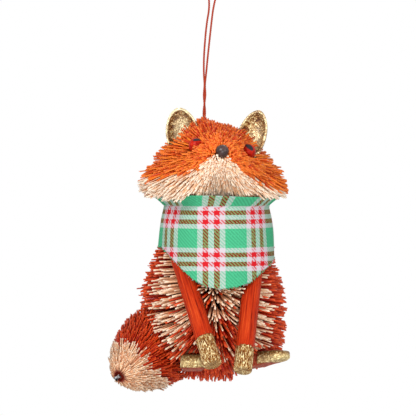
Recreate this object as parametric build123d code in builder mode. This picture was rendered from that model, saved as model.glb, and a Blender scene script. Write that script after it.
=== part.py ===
from build123d import *
import os
from math import asin, cos, degrees, pi, radians, sin, sqrt, tan

# Hanging bottle-brush fox that sits and looks towards -Y. Sizes are in millimetres, angles in degrees.
# The origin is the hang point, inside the top of the twine loop, and +Z is up.
# Left and right are as seen from the front, so left is -X.

# Fits shared by all pieces
seat_gap = 0.3
bore_gap = 0.15
overrun = 2.0

# Bristle strands: each stands for a tuft of dyed fibre
strand_width = 2.1
strand_sides = 3
strand_embed = 1.6
strand_gap = 0.2
strand_least = 3.5

# Body brush
body_radius = 32.0
body_top_z = -92.0
body_bottom_z = -181.5
body_wire_diameter = 2.6
body_cream_bottom_z = -158.6
body_cream_half_angle = 65.0
body_sides = 16
body_tip_spacing = 8.0
body_root_shares = [(0.112, 0.28), (0.207, 0.40), (0.296, 0.53), (0.52, 0.53), (0.665, 0.42),
                    (0.83, 0.36), (0.87, 0.2)]
body_turn_shares = [(0.855, 0.9, 0.55), (0.8, 0.825, 0.66), (0.743, 0.743, 0.67), (0.665, 0.659, 0.72),
                    (0.598, 0.581, 0.84), (0.531, 0.503, 0.94), (0.464, 0.419, 0.98), (0.397, 0.33, 1.0),
                    (0.33, 0.24, 1.0), (0.274, 0.156, 0.94), (0.229, 0.084, 0.81), (0.185, 0.034, 0.56),
                    (0.14, 0.0, 0.31)]

# Head brush: its wire runs from the back of the head to the nose
head_length = 50.0
head_reach = 38.0
head_yaw = 8.0
head_pitch = 4.0
head_wire_diameter = 2.2
head_wire_back = 1.5
head_root_share = 0.5
head_flat_share = 0.94
head_cream_first_angle = -155.0
head_cream_last_angle = -35.0
head_tip_spacing = 5.9
head_outline_shares = [(-180, 0.7), (-175, 0.77), (-168, 0.86), (-160, 0.92), (-152, 0.88), (-140, 0.75),
                       (-128, 0.64), (-116, 0.55), (-104, 0.5), (-90, 0.49), (-76, 0.5), (-53, 0.58),
                       (-41, 0.76), (-33, 0.9), (-23, 1.0), (-13, 0.91), (-6, 0.86), (3, 0.7), (15, 0.65),
                       (30, 0.57), (45, 0.51), (60, 0.46), (90, 0.43), (105, 0.45), (119, 0.48),
                       (136, 0.5), (150, 0.52), (161, 0.58), (180, 0.7)]
head_root_angles = [-180, -170, -155, -140, -120, -90, -60, -35, -22, -8, 5, 30, 60, 90, 120, 150]
head_root_shares = [(0.0, 0.3), (0.12, 0.75), (0.28, 1.0), (0.48, 1.0), (0.68, 0.95), (0.84, 0.5),
                    (0.936, 0.26)]
head_turn_shares = [(0.06, -0.04, 0.55), (0.18, 0.13, 0.85), (0.31, 0.31, 1.0), (0.43, 0.48, 0.97),
                    (0.55, 0.65, 0.83), (0.67, 0.8, 0.63), (0.78, 0.91, 0.43), (0.88, 0.98, 0.27)]

# Nose, placed on the animal
nose_diameter = 5.5
nose_x = 3.8
nose_y = -33.0
nose_z = -86.9
bead_steps = 14

# Eyes and ears: each stands in the head's packed roots at an angle round the wire and a share of its length
eye_diameter = 6.6
eye_sink = 0.4
left_eye_angle = 160.0
left_eye_share = 0.765
right_eye_angle = 8.0
right_eye_share = 0.7
ear_length = 23.0
ear_half_width = 7.4
ear_wall = 0.9
ear_tip_wall = 2.2
ear_sink = 1.3
ear_steps = 14
ear_round_share = 1.8
left_ear_angle = -177.2
left_ear_share = 0.482
left_ear_tilt = 9.0
left_ear_turn = 8.0
right_ear_angle = -3.0
right_ear_share = 0.552
right_ear_tilt = -18.0
right_ear_turn = -22.0
right_ear_width_share = 0.9

# Tail brush: a bent wire from the body wire to the tail tip
tail_base_x = -17.0
tail_base_y = 8.0
tail_base_z = -161.0
tail_tip_x = -40.2
tail_tip_y = -20.0
tail_tip_z = -181.3
tail_radius = 18.6
tail_wire_diameter = 2.2
tail_wire_start_z = -157.0
tail_wire_bend = 6.0
tail_wire_stub = 1.5
tail_sides = 14
tail_tip_spacing = 7.0
tail_cream_share = 0.61
tail_root_shares = [(0.17, 0.3), (0.3, 0.45), (0.61, 0.5), (0.82, 0.33), (0.965, 0.14)]
tail_turn_shares = [(0.26, 0.06, 0.75), (0.38, 0.19, 0.9), (0.5, 0.31, 0.98), (0.555, 0.42, 1.0),
                    (0.7, 0.56, 0.98), (0.82, 0.7, 0.87), (0.93, 0.85, 0.64)]

# Stick forelegs and the wire pins that hold them
leg_diameter = 7.9
leg_end_round = 0.6
leg_pin_diameter = 1.6
leg_pin_depth = 4.0
leg_pin_root_depth = 2.0
leg_pin_below_top = 4.5
leg_under_scarf = 5.0
left_leg_top_angle = -138.6
left_leg_end_x = -0.2
left_leg_end_y = -44.0
left_leg_end_z = -176.6
right_leg_top_angle = -41.3
right_leg_end_x = 11.8
right_leg_end_y = -42.0
right_leg_end_z = -179.0

# Carved hind feet
foot_length = 31.0
foot_width = 10.2
foot_heel_width = 8.4
foot_height = 6.6
foot_round = 2.4
left_heel_angle = -149.8
left_heel_share = 1.11
left_foot_turn = 0.0
left_foot_rise = 0.0
right_heel_angle = -27.7
right_heel_share = 0.98
right_foot_turn = 50.0
right_foot_rise = 6.0

# Scarf: a cloth band with a turned-out collar and a rounded bib
scarf_x = 1.5
scarf_y = -5.0
scarf_wall = 1.2
collar_rim_radius = 27.8
collar_rim_z = -102.0
collar_crease_radius = 22.8
collar_crease_z = -106.0
collar_dip = 3.9
band_hem_z = -125.0
bib_radius = 30.2
bib_point_z = -144.8
bib_half_width = 26.0
bib_corner_shares = [(-0.97, 0.1), (-0.36, 0.8), (0.06, 1.0), (0.52, 0.84), (1.0, 0.16)]

# Twine: one length that goes up from the tie, over the hook and back down
twine_diameter = 0.9
twine_pair_radius = 0.48
twine_twist_length = 8.5
twine_step = 4.2
tie_radius = 2.4
tie_width = 3.0
tie_top = 1.9
tie_y = 3.5
twine_lead_top_z = -67.5
twine_lead_top_x = -3.9
twine_pair_top_x = -3.6
twine_pair_top_z = -46.5
twine_channel_radius = 1.6
# The open part of the loop is a hand-placed route, given as places in X and Z, from the pair to the hook.
left_twine_route = [(-4.1, -38.5), (-3.5, -29.5), (-2.7, -21.5), (-1.6, -15.5), (-1.8, -9.5), (-2.4, -4.6)]
right_twine_route = [(-2.3, -37.5), (-1.4, -29.0), (-0.6, -21.5), (0.1, -15.5), (1.3, -10.0), (2.3, -5.0)]
hook_radius = 2.5
twine_sides = 6

body_height = body_top_z - body_bottom_z
body_wire_bottom_z = body_bottom_z + body_root_shares[0][0] * body_height
foot_sole_z = body_wire_bottom_z - seat_gap - foot_height
strand_reach = strand_width / sqrt(3)
bib_slope = (bib_radius - collar_crease_radius) / (collar_crease_z - bib_point_z)
collar_slope = (collar_rim_radius - collar_crease_radius) / (collar_rim_z - collar_crease_z)
rim_dip = collar_dip * collar_rim_radius / collar_crease_radius
scarf_low_z = bib_point_z - overrun
scarf_low_radius = collar_crease_radius + bib_slope * (collar_crease_z - scarf_low_z)


def along(table, place):
    """Value of a table of shares at a place, on straight lines between its rows."""
    for before, after in zip(table, table[1:]):
        if place <= after[0]:
            part = max(0, (place - before[0]) / (after[0] - before[0]))
            return before[1] + part * (after[1] - before[1])
    return table[-1][1]


def segment_gap(start_a, end_a, start_b, end_b):
    """Least distance between two straight stretches."""
    run_a = [q - p for p, q in zip(start_a, end_a)]
    run_b = [q - p for p, q in zip(start_b, end_b)]
    apart = [p - q for p, q in zip(start_a, start_b)]
    aa = sum(v * v for v in run_a)
    bb = sum(v * v for v in run_b)
    ab = sum(v * w for v, w in zip(run_a, run_b))
    ac = sum(v * w for v, w in zip(run_a, apart))
    bc = sum(v * w for v, w in zip(run_b, apart))
    spread = aa * bb - ab * ab
    place_a = min(1, max(0, (ab * bc - ac * bb) / spread)) if spread > 0 else 0
    place_b = (ab * place_a + bc) / bb if bb > 0 else 0
    place_b = min(1, max(0, place_b))
    place_a = min(1, max(0, (ab * place_b - ac) / aa)) if aa > 0 else 0
    return sqrt(sum((g + place_a * v - place_b * w) ** 2 for g, v, w in zip(apart, run_a, run_b)))


# Frames of the three brushes: each Z axis runs along the wire
head_direction = Vector(sin(radians(head_yaw)) * cos(radians(head_pitch)),
                        -cos(radians(head_yaw)) * cos(radians(head_pitch)),
                        -sin(radians(head_pitch)))
nose_place = Vector(nose_x, nose_y, nose_z)
head_frame = Plane(origin=nose_place - head_direction * head_length,
                   x_dir=(cos(radians(head_yaw)), sin(radians(head_yaw)), 0), z_dir=head_direction)
body_frame = Plane(origin=(0, 0, body_bottom_z))
tail_base = Vector(tail_base_x, tail_base_y, tail_base_z)
tail_tip = Vector(tail_tip_x, tail_tip_y, tail_tip_z)
tail_length = (tail_tip - tail_base).length
tail_frame = Plane(origin=tail_base, z_dir=tail_tip - tail_base)


def head_outline(angle):
    """Trimmed surface of the head brush: its reach from the wire at an angle around it."""
    turned = (angle + 180) % 360 - 180
    return head_reach * along(head_outline_shares, turned)


def head_root_reach(angle, height_share):
    """Flats of the head's packed roots, on the safe side between their corners."""
    return head_root_share * head_outline(angle) * along(head_root_shares, height_share) * head_flat_share


def at_height(frame, radius, angle, height):
    """Point of a brush at a radius and an angle around its wire, at a height along it."""
    return frame.from_local_coords((radius * cos(radians(angle)), radius * sin(radians(angle)), height))


def on_head(angle, share, out):
    """Point that stands out from the head's packed roots."""
    return at_height(head_frame, head_root_reach(angle, share) + out, angle, share * head_length)


def scarf_inside(back_share, z):
    """Inside radius of the scarf's cloth at a height, where the share is 1 at the back and -1 at the front."""
    crease_z = collar_crease_z + collar_dip * back_share
    rim_z = collar_rim_z + rim_dip * back_share
    if z > crease_z:
        share = (z - crease_z) / (rim_z - crease_z)
        return collar_crease_radius + share * (collar_rim_radius - collar_crease_radius) - scarf_wall
    share = (crease_z - z) / (crease_z - scarf_low_z)
    return collar_crease_radius + share * (scarf_low_radius - collar_crease_radius) - scarf_wall


def scarf_hem_z(x):
    """Height of the scarf's front hem, seen from the front."""
    hem_share = along([(-1.1, 0)] + bib_corner_shares + [(1.1, 0)], (x - scarf_x) / bib_half_width)
    return band_hem_z + hem_share * (bib_point_z - band_hem_z)


# Packed roots: where the fibres stand too close to tell apart, each brush is solid
with BuildPart() as body_roots:
    for height_share, radius_share in body_root_shares:
        with BuildSketch(body_frame.offset(height_share * body_height)):
            RegularPolygon(radius_share * body_radius, body_sides)
    loft(ruled=True)

with BuildPart() as head_roots:
    for height_share, size_share in head_root_shares:
        with BuildSketch(head_frame.offset(height_share * head_length)):
            with BuildLine():
                Polyline(*[(size_share * head_root_share * head_outline(a) * cos(radians(a)),
                            size_share * head_root_share * head_outline(a) * sin(radians(a)))
                           for a in head_root_angles], close=True)
            make_face()
    loft(ruled=True)

with BuildPart() as tail_roots:
    for height_share, radius_share in tail_root_shares:
        with BuildSketch(tail_frame.offset(height_share * tail_length)):
            RegularPolygon(radius_share * tail_radius, tail_sides)
    loft(ruled=True)


def sector(frame, radius, first_angle, last_angle, bottom, top):
    """Wedge around a wire between two angles, longer than what it cuts."""
    middle_angle = (first_angle + last_angle) / 2
    with BuildPart() as wedge:
        with BuildSketch(frame.offset(bottom)):
            with BuildLine():
                Polyline((0, 0),
                         (radius * cos(radians(first_angle)), radius * sin(radians(first_angle))),
                         (radius * cos(radians(middle_angle)), radius * sin(radians(middle_angle))),
                         (radius * cos(radians(last_angle)), radius * sin(radians(last_angle))), close=True)
            make_face()
        extrude(amount=top - bottom)
    return wedge.part


body_front_angle = -90
body_sector = sector(body_frame, body_radius * 2, body_front_angle - body_cream_half_angle,
                     body_front_angle + body_cream_half_angle,
                     body_cream_bottom_z - body_bottom_z, body_height)
head_sector = sector(head_frame, head_reach * 2, head_cream_first_angle, head_cream_last_angle,
                     -overrun, head_length + overrun)
with BuildPart() as tail_sector:
    with BuildSketch(tail_frame.offset(tail_cream_share * tail_length)):
        Circle(tail_radius)
    extrude(amount=tail_length)

# Twisted wires: the spine of each brush
with BuildPart() as head_wire:
    with BuildSketch(head_frame.offset(head_wire_back)):
        Circle(head_wire_diameter / 2)
    extrude(amount=head_length - nose_diameter / 2 - bore_gap - head_wire_back)
head_wire.part.label = "head_wire"

body_axis_share = -head_frame.origin.Y / (nose_place.Y - head_frame.origin.Y)
head_wire_over_body_z = head_frame.origin.Z + body_axis_share * (nose_place.Z - head_frame.origin.Z)
body_wire_top_z = head_wire_over_body_z - head_wire_diameter / 2 - seat_gap
with BuildPart() as body_wire:
    with BuildSketch(Plane.XY.offset(body_wire_bottom_z)):
        Circle(body_wire_diameter / 2)
    extrude(amount=body_wire_top_z - body_wire_bottom_z)
body_wire.part.label = "body_wire"

tail_direction = (tail_tip - tail_base).normalized()
tail_wire_heading = Vector(tail_base_x, tail_base_y, 0).normalized()
tail_wire_start = tail_wire_heading * (body_wire_diameter / 2 + seat_gap) + Vector(0, 0, tail_wire_start_z)
tail_wire_points = [tail_wire_start, tail_base, tail_tip + tail_direction * tail_wire_stub]


def bent_wire(points, bend, diameter):
    """Round wire along straight runs with a rounded bend."""
    with BuildPart() as wire:
        with BuildLine() as run:
            FilletPolyline(*points, radius=bend)
        with BuildSketch(Plane(origin=points[0], z_dir=points[1] - points[0])):
            Circle(diameter / 2)
        sweep(path=run.wires()[0])
    return wire.part


with BuildPart() as tail_wire:
    add(bent_wire(tail_wire_points, tail_wire_bend, tail_wire_diameter))
tail_wire.part.label = "tail_wire"

# Nose and eyes: turned wooden beads
def bead(place, diameter):
    """Round bead turned in short steps about an upright axis."""
    turns = [pi * step / bead_steps for step in range(bead_steps + 1)]
    with BuildPart() as ball:
        with BuildSketch(Plane(origin=place, x_dir=(1, 0, 0), z_dir=(0, -1, 0))):
            with BuildLine():
                Polyline(*[(diameter / 2 * sin(turn), diameter / 2 * cos(turn)) for turn in turns], close=True)
            make_face()
        revolve(axis=Axis(place, (0, 0, 1)))
    return ball.part


with BuildPart() as nose:
    add(bead(nose_place, nose_diameter))
nose.part.label = "nose"

eye_places = {"left_eye": on_head(left_eye_angle, left_eye_share, eye_diameter / 2 - eye_sink),
              "right_eye": on_head(right_eye_angle, right_eye_share, eye_diameter / 2 - eye_sink)}
eyes = {}
for name, place in eye_places.items():
    with BuildPart() as eye:
        add(bead(place, eye_diameter))
    eye.part.label = name
    eyes[name] = eye


# Ears: halves of a thin woody pod, hollow side to the front
def ear_frame(foot, tilt, turn):
    """Frame at the middle of an ear: local Y runs up to its tip and local Z faces the way it opens."""
    up = Vector(-sin(radians(tilt)), 0, cos(radians(tilt)))
    facing = Vector(sin(radians(turn)), -cos(radians(turn)), 0)
    return Plane(origin=foot + up * (ear_length / 2), x_dir=up.cross(facing), z_dir=facing)


def pod_side(half_width, length):
    """Side of a pod from its lower end to its tip, in short steps along a curve a little leaner than an oval."""
    turns = [pi * step / ear_steps for step in range(1, ear_steps)]
    sides = [(half_width * (1 - abs(cos(turn)) ** ear_round_share) ** (1 / ear_round_share), -length / 2 * cos(turn))
             for turn in turns]
    return [(0, -length / 2)] + sides + [(0, length / 2)]


def pod_half(frame, half_width, length, hollow_width, hollow_length):
    """Half of a pod with its rim in the frame's plane, hollow where a hollow is given."""
    profile = pod_side(half_width, length)
    if hollow_width > 0:
        profile += reversed(pod_side(hollow_width, hollow_length))
    with BuildPart() as pod:
        with BuildSketch(frame):
            with BuildLine():
                Polyline(*profile, close=True)
            make_face()
        revolve(axis=Axis(frame.origin, frame.y_dir), revolution_arc=180)
    return pod.part


ear_frames = {"left_ear": ear_frame(on_head(left_ear_angle, left_ear_share, -ear_sink),
                                    left_ear_tilt, left_ear_turn),
              "right_ear": ear_frame(on_head(right_ear_angle, right_ear_share, -ear_sink),
                                     right_ear_tilt, right_ear_turn)}
ear_half_widths = {"left_ear": ear_half_width, "right_ear": ear_half_width * right_ear_width_share}
ears = {}
ear_pockets = []
for name, frame in ear_frames.items():
    half_width = ear_half_widths[name]
    with BuildPart() as ear:
        add(pod_half(frame, half_width, ear_length, half_width - ear_wall, ear_length - 2 * ear_tip_wall))
    ear.part.label = name
    ears[name] = ear
    ear_pockets.append(pod_half(frame.offset(seat_gap), half_width + 2 * seat_gap,
                                ear_length + 4 * seat_gap, 0, 0))

# Stick forelegs with their wire pins into the body
def leg_top(angle):
    """Top of a foreleg, tucked inside the front of the scarf."""
    back_share = sin(radians(angle))
    reach = scarf_inside(back_share, band_hem_z) - leg_diameter / 2
    x = scarf_x + reach * cos(radians(angle))
    return Vector(x, scarf_y + reach * back_share, scarf_hem_z(x) + leg_under_scarf)


leg_ends = {"left": (leg_top(left_leg_top_angle), Vector(left_leg_end_x, left_leg_end_y, left_leg_end_z)),
            "right": (leg_top(right_leg_top_angle), Vector(right_leg_end_x, right_leg_end_y, right_leg_end_z))}


def root_radius_at(z):
    """Radius of the body's packed roots at a height, on the flats."""
    return body_radius * along(body_root_shares, (z - body_bottom_z) / body_height) * cos(pi / body_sides)


def leg_pin_ends(top, end):
    """Ends of the pin: one in the packed roots and one in the leg."""
    crossing = top + (end - top).normalized() * leg_pin_below_top
    outward = Vector(crossing.X, crossing.Y, 0).normalized()
    inner = outward * (root_radius_at(crossing.Z) - leg_pin_root_depth) + Vector(0, 0, crossing.Z)
    radial = Vector(crossing.X, crossing.Y, 0).length
    outer = outward * (radial - leg_diameter / 2 + leg_pin_depth) + Vector(0, 0, crossing.Z)
    return inner, outer


def round_bar(start, end, radius):
    """Plain round bar between two points."""
    with BuildPart() as bar:
        with BuildSketch(Plane(origin=start, z_dir=end - start)):
            Circle(radius)
        extrude(amount=(end - start).length)
    return bar.part


legs = {}
leg_pins = {}
pin_bores = []
for side, (top, end) in leg_ends.items():
    pin_inner, pin_outer = leg_pin_ends(top, end)
    pin_bores.append(round_bar(pin_inner, pin_outer, leg_pin_diameter / 2 + bore_gap))
    with BuildPart() as pin:
        add(round_bar(pin_inner, pin_outer, leg_pin_diameter / 2))
    pin.part.label = side + "_foreleg_pin"
    leg_pins[pin.part.label] = pin
    with BuildPart() as leg:
        with BuildSketch(Plane(origin=top, z_dir=end - top)):
            Circle(leg_diameter / 2)
        extrude(amount=(end - top).length)
        chamfer(leg.faces().sort_by(Axis(top, end - top))[-1].edges(), leg_end_round)
        add(pin_bores[-1], mode=Mode.SUBTRACT)
    leg.part.label = side + "_foreleg"
    legs[leg.part.label] = leg


# Hind feet: carved from flat wood, rounded at the toe
def heel_place(angle, share):
    """Middle of a heel's sole, under the lower end of the body's packed roots."""
    reach = share * body_root_shares[0][1] * body_radius
    return Vector(reach * cos(radians(angle)), reach * sin(radians(angle)), foot_sole_z)


def foot(heel, turn, rise, grow):
    """Foot from its heel, turned outward and rising to the toe, grown all round by a gap."""
    heading = Vector(sin(radians(turn)), -cos(radians(turn)), 0)
    across = Vector(cos(radians(turn)), sin(radians(turn)), 0)
    slope = heading * cos(radians(rise)) + Vector(0, 0, sin(radians(rise)))
    sole = Plane(origin=heel, x_dir=slope, z_dir=slope.cross(across))
    with BuildPart() as block:
        with BuildSketch(sole.offset(-grow)):
            with BuildLine():
                toe_start = foot_length - foot_width / 2
                Line((-grow, foot_heel_width / 2 + grow), (toe_start, foot_width / 2 + grow))
                ThreePointArc((toe_start, foot_width / 2 + grow), (foot_length + grow, 0),
                              (toe_start, -foot_width / 2 - grow))
                Line((toe_start, -foot_width / 2 - grow), (-grow, -foot_heel_width / 2 - grow))
                Line((-grow, -foot_heel_width / 2 - grow), (-grow, foot_heel_width / 2 + grow))
            make_face()
        extrude(amount=foot_height + 2 * grow)
        if grow == 0:
            fillet(block.faces().sort_by(Axis(heel, sole.z_dir))[-1].edges(), foot_round)
    return block.part


foot_settings = {"left_hind_foot": (heel_place(left_heel_angle, left_heel_share),
                                    left_foot_turn, left_foot_rise),
                 "right_hind_foot": (heel_place(right_heel_angle, right_heel_share),
                                     right_foot_turn, right_foot_rise)}
feet = {}
foot_pockets = []
for name, setting in foot_settings.items():
    with BuildPart() as hind_foot:
        add(foot(*setting, 0))
    hind_foot.part.label = name
    feet[name] = hind_foot
    foot_pockets.append(foot(*setting, seat_gap))

# Scarf: one band of cloth whose collar dips to the front, cut away below its hem
scarf_left_x = scarf_x - 2 * bib_half_width
scarf_right_x = scarf_x + 2 * bib_half_width


def scarf_cone(rings):
    """Solid through level or tilted rings, each given as a radius, a height and a dip to the front."""
    with BuildPart() as cone:
        for radius, z, dip in rings:
            with BuildSketch(Plane(origin=(scarf_x, scarf_y, z), x_dir=(1, 0, 0), z_dir=(0, -dip, radius))):
                Circle(radius)
        loft(ruled=True)
    return cone.part


cloth_outside = scarf_cone([(collar_rim_radius, collar_rim_z, rim_dip),
                            (collar_crease_radius, collar_crease_z, collar_dip),
                            (scarf_low_radius, scarf_low_z, 0)])
cloth_inside = scarf_cone([(collar_rim_radius - scarf_wall + collar_slope * overrun, collar_rim_z + overrun, rim_dip),
                           (collar_crease_radius - scarf_wall, collar_crease_z, collar_dip),
                           (scarf_low_radius - scarf_wall + bib_slope * overrun, scarf_low_z - overrun, 0)])
with BuildPart() as scarf:
    add(cloth_outside)
    add(cloth_inside, mode=Mode.SUBTRACT)
    with BuildSketch(Plane.XZ.offset(-scarf_y)):
        with BuildLine():
            hem = [(scarf_x + share_x * bib_half_width, band_hem_z + share_z * (bib_point_z - band_hem_z))
                   for share_x, share_z in bib_corner_shares]
            Line((scarf_left_x, band_hem_z), (hem[0][0], band_hem_z))
            Line((hem[0][0], band_hem_z), hem[0])
            Line(hem[0], hem[1])
            ThreePointArc(hem[1], hem[2], hem[3])
            Line(hem[3], hem[4])
            Line(hem[4], (hem[4][0], band_hem_z))
            Line((hem[4][0], band_hem_z), (scarf_right_x, band_hem_z))
            Polyline((scarf_right_x, band_hem_z), (scarf_right_x, scarf_low_z - overrun),
                     (scarf_left_x, scarf_low_z - overrun), (scarf_left_x, band_hem_z))
        make_face()
    extrude(amount=2 * bib_radius, mode=Mode.SUBTRACT)
    with BuildSketch(Plane.XZ.offset(-scarf_y)):
        with Locations((scarf_x, (band_hem_z + scarf_low_z - overrun) / 2)):
            Rectangle(4 * bib_half_width, band_hem_z - scarf_low_z + overrun)
    extrude(amount=-2 * bib_radius, mode=Mode.SUBTRACT)
scarf.part.label = "scarf"

# Tie: the knotted turns of twine round the head wire
tie_share = (tie_y - head_frame.origin.Y) / (nose_place.Y - head_frame.origin.Y)
tie_place = head_frame.origin + (nose_place - head_frame.origin) * tie_share
tie_plane = Plane(origin=tie_place - head_direction * (tie_width / 2), x_dir=head_frame.x_dir,
                  z_dir=head_direction)
tie_top_z = tie_place.Z + tie_top
with BuildPart() as twine_tie:
    with BuildSketch(tie_plane):
        Circle(tie_radius)
        Circle(head_wire_diameter / 2 + bore_gap, mode=Mode.SUBTRACT)
    extrude(amount=tie_width)
    with BuildSketch(Plane.XY.offset(tie_top_z)):
        with Locations((tie_place.X, tie_place.Y)):
            Rectangle(2 * tie_width + 2 * tie_radius, 2 * tie_width + 2 * tie_radius)
    extrude(amount=tie_radius, mode=Mode.SUBTRACT)
twine_tie.part.label = "twine_tie"


# Twine route: two legs twisted round each other from the tie, then open to the hook
def pair_points(side):
    """Places of one of the two twisted legs, from the tie to the top of the pair."""
    lead_start = Vector(tie_place.X, tie_place.Y, tie_top_z)
    lead_end = Vector(twine_lead_top_x, 0, twine_lead_top_z)
    pair_end = Vector(twine_pair_top_x, 0, twine_pair_top_z)
    points = []
    for start, finish in ((lead_start, lead_end), (lead_end, pair_end)):
        steps = round((finish - start).length / twine_step)
        for step in range(steps):
            centre = start + (finish - start) * (step / steps)
            turn = side * pi / 2 + pi / 2 + (centre.Z - twine_pair_top_z) * pi / twine_twist_length
            points.append(centre + Vector(cos(turn), sin(turn), 0) * twine_pair_radius)
    points[0] = Vector(points[1].X, points[1].Y, tie_top_z)
    points.append(pair_end + Vector(side, 0, 0) * twine_pair_radius)
    return points


left_leg_route = pair_points(-1) + [Vector(x, 0, z) for x, z in left_twine_route]
right_leg_route = pair_points(1) + [Vector(x, 0, z) for x, z in right_twine_route]
hook_points = [Vector(-hook_radius, 0, twine_diameter / 2), Vector(hook_radius, 0, twine_diameter / 2)]
twine_route = left_leg_route + hook_points + list(reversed(right_leg_route))


def route_radii(points):
    """Largest tangent arc at each corner that its two runs allow."""
    radii = []
    for before, corner, after in zip(points, points[1:], points[2:]):
        turn = (corner - before).get_angle(after - corner)
        shorter = min((corner - before).length, (after - corner).length)
        radii.append(0.45 * shorter / tan(radians(turn) / 2))
    return radii


twine_radii = route_radii(twine_route)
with BuildPart() as hanging_twine:
    with BuildLine() as twine_path:
        FilletPolyline(*twine_route, radius=twine_radii)
    with BuildSketch(Plane(origin=twine_route[0], z_dir=twine_route[1] - twine_route[0])):
        RegularPolygon(twine_diameter / 2, twine_sides)
    sweep(path=twine_path.wires()[0])
hanging_twine.part.label = "hanging_twine"
twine_length = twine_path.wires()[0].length
twine_section = 1.5 * sqrt(3) * (twine_diameter / 2) ** 2
print("twine radii", [round(r, 1) for r in twine_radii])
print("twine length", round(twine_length, 1), "volume", round(hanging_twine.part.volume, 1),
      "section times length", round(twine_section * twine_length, 1))

# Channels that the wires and the twine take through the packed roots
tail_channel = bent_wire(tail_wire_points, tail_wire_bend, tail_wire_diameter + 2 * bore_gap)
body_wire_channel_foot = Vector(0, 0, body_bottom_z)
body_wire_channel_head = Vector(0, 0, body_wire_top_z + seat_gap / 2)
body_wire_channel = round_bar(body_wire_channel_foot, body_wire_channel_head,
                              body_wire_diameter / 2 + bore_gap)
head_wire_channel = round_bar(head_frame.origin - head_direction * overrun, nose_place,
                              head_wire_diameter / 2 + bore_gap)
tie_pocket = round_bar(tie_place - head_direction * (tie_width / 2 + seat_gap),
                       tie_place + head_direction * (tie_width / 2 + seat_gap), tie_radius + seat_gap)
twine_channel = round_bar(tie_place, Vector(twine_lead_top_x, 0, twine_lead_top_z), twine_channel_radius)

# What the strands keep clear of, each as a straight stretch with a radius
rim_steps = 24
scarf_rim = []
for step in range(rim_steps):
    rim_angle = radians(360 / rim_steps * step)
    scarf_rim.append(Vector(scarf_x + (collar_rim_radius - scarf_wall / 2) * cos(rim_angle),
                            scarf_y + (collar_rim_radius - scarf_wall / 2) * sin(rim_angle),
                            collar_rim_z + rim_dip * sin(rim_angle)))
obstacles = [(twine_route[0], Vector(twine_lead_top_x, 0, twine_lead_top_z), twine_diameter * 1.5),
             (Vector(twine_lead_top_x, 0, twine_lead_top_z), Vector(twine_pair_top_x, 0, twine_pair_top_z),
              twine_diameter * 1.5),
             (tail_wire_points[0], tail_wire_points[1], tail_wire_diameter / 2),
             (tail_wire_points[1], tail_wire_points[2], tail_wire_diameter / 2),
             (body_wire_channel_foot, body_wire_channel_head, body_wire_diameter / 2),
             (nose_place, nose_place, nose_diameter / 2)]
obstacles += [(place, place, eye_diameter / 2) for place in eye_places.values()]
obstacles += [(top, end, leg_diameter / 2) for top, end in leg_ends.values()]
obstacles += [(inner, outer, leg_pin_diameter / 2)
              for inner, outer in (leg_pin_ends(top, end) for top, end in leg_ends.values())]
obstacles += [(start, end, scarf_wall) for start, end in zip(scarf_rim, scarf_rim[1:] + scarf_rim[:1])]


def ear_stretches(frame, half_width):
    """Ear as upright stretches side by side across its hollow back."""
    for share in (-0.6, 0, 0.6):
        depth = half_width * sqrt(1 - share * share)
        reach = ear_length / 2 * (1 - abs(share) / 2)
        yield (frame.from_local_coords((share * half_width, -reach, -depth / 2)),
               frame.from_local_coords((share * half_width, reach, -depth / 2)), half_width / 2)


for name, frame in ear_frames.items():
    obstacles += list(ear_stretches(frame, ear_half_widths[name]))


def foot_stretches(heel, turn, rise):
    """Foot as two stretches from heel to toe, one along each side."""
    heading = Vector(sin(radians(turn)), -cos(radians(turn)), 0)
    across = Vector(cos(radians(turn)), sin(radians(turn)), 0)
    lift = foot_length * tan(radians(rise))
    for side in (-1, 1):
        start = heel + across * (side * (foot_width - foot_height) / 2) + Vector(0, 0, foot_height / 2)
        end = start + heading * (foot_length - foot_height / 2) + Vector(0, 0, lift)
        yield (start, end, foot_height / 2 + scarf_wall)


for setting in foot_settings.values():
    obstacles += list(foot_stretches(*setting))
obstacles = [(tuple(start), tuple(end), radius) for start, end, radius in obstacles]


def under_scarf(point):
    """True where a strand's tip would touch or pass the cloth of the scarf."""
    from_axis = sqrt((point.X - scarf_x) ** 2 + (point.Y - scarf_y) ** 2)
    back_share = (point.Y - scarf_y) / from_axis
    hem_z = scarf_hem_z(point.X) if point.Y < scarf_y else band_hem_z
    if point.Z < hem_z - strand_reach - strand_gap or point.Z > collar_rim_z + rim_dip * back_share + strand_width:
        return False
    return from_axis > scarf_inside(back_share, point.Z) - strand_reach - strand_gap


taken = []


def tip_angles(first, last, spacing, outline, late):
    """Angles of an arc at which strand tips stand a spacing apart, started late by a part of a step."""
    angle = first + late * degrees(spacing / outline(first))
    while angle < last:
        yield angle
        angle += degrees(spacing / outline(angle))


def edge_angle(radius):
    """Angle that keeps a strand's root inside its own sector."""
    return degrees(asin((strand_reach + strand_gap) / max(radius - strand_embed, strand_width)))


def body_outline(angle):
    """Trimmed surface of the body brush at its widest."""
    return body_radius


def tail_outline(angle):
    """Trimmed surface of the tail brush at its widest."""
    return tail_radius


def body_root_reach(angle, height_share):
    """Flats of the body's packed roots."""
    return body_radius * along(body_root_shares, height_share) * cos(pi / body_sides)


def tail_root_reach(angle, height_share):
    """Flats of the tail's packed roots."""
    return tail_radius * along(tail_root_shares, height_share) * cos(pi / tail_sides)


cream_bottom_share = (body_cream_bottom_z - body_bottom_z) / body_height


def body_cream_arc(height_share):
    """Arc of the cream chest, which ends above the bottom of the body."""
    half = body_cream_half_angle - edge_angle(body_root_reach(0, height_share))
    return (body_front_angle - half, body_front_angle + half) if height_share > cream_bottom_share else None


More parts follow.
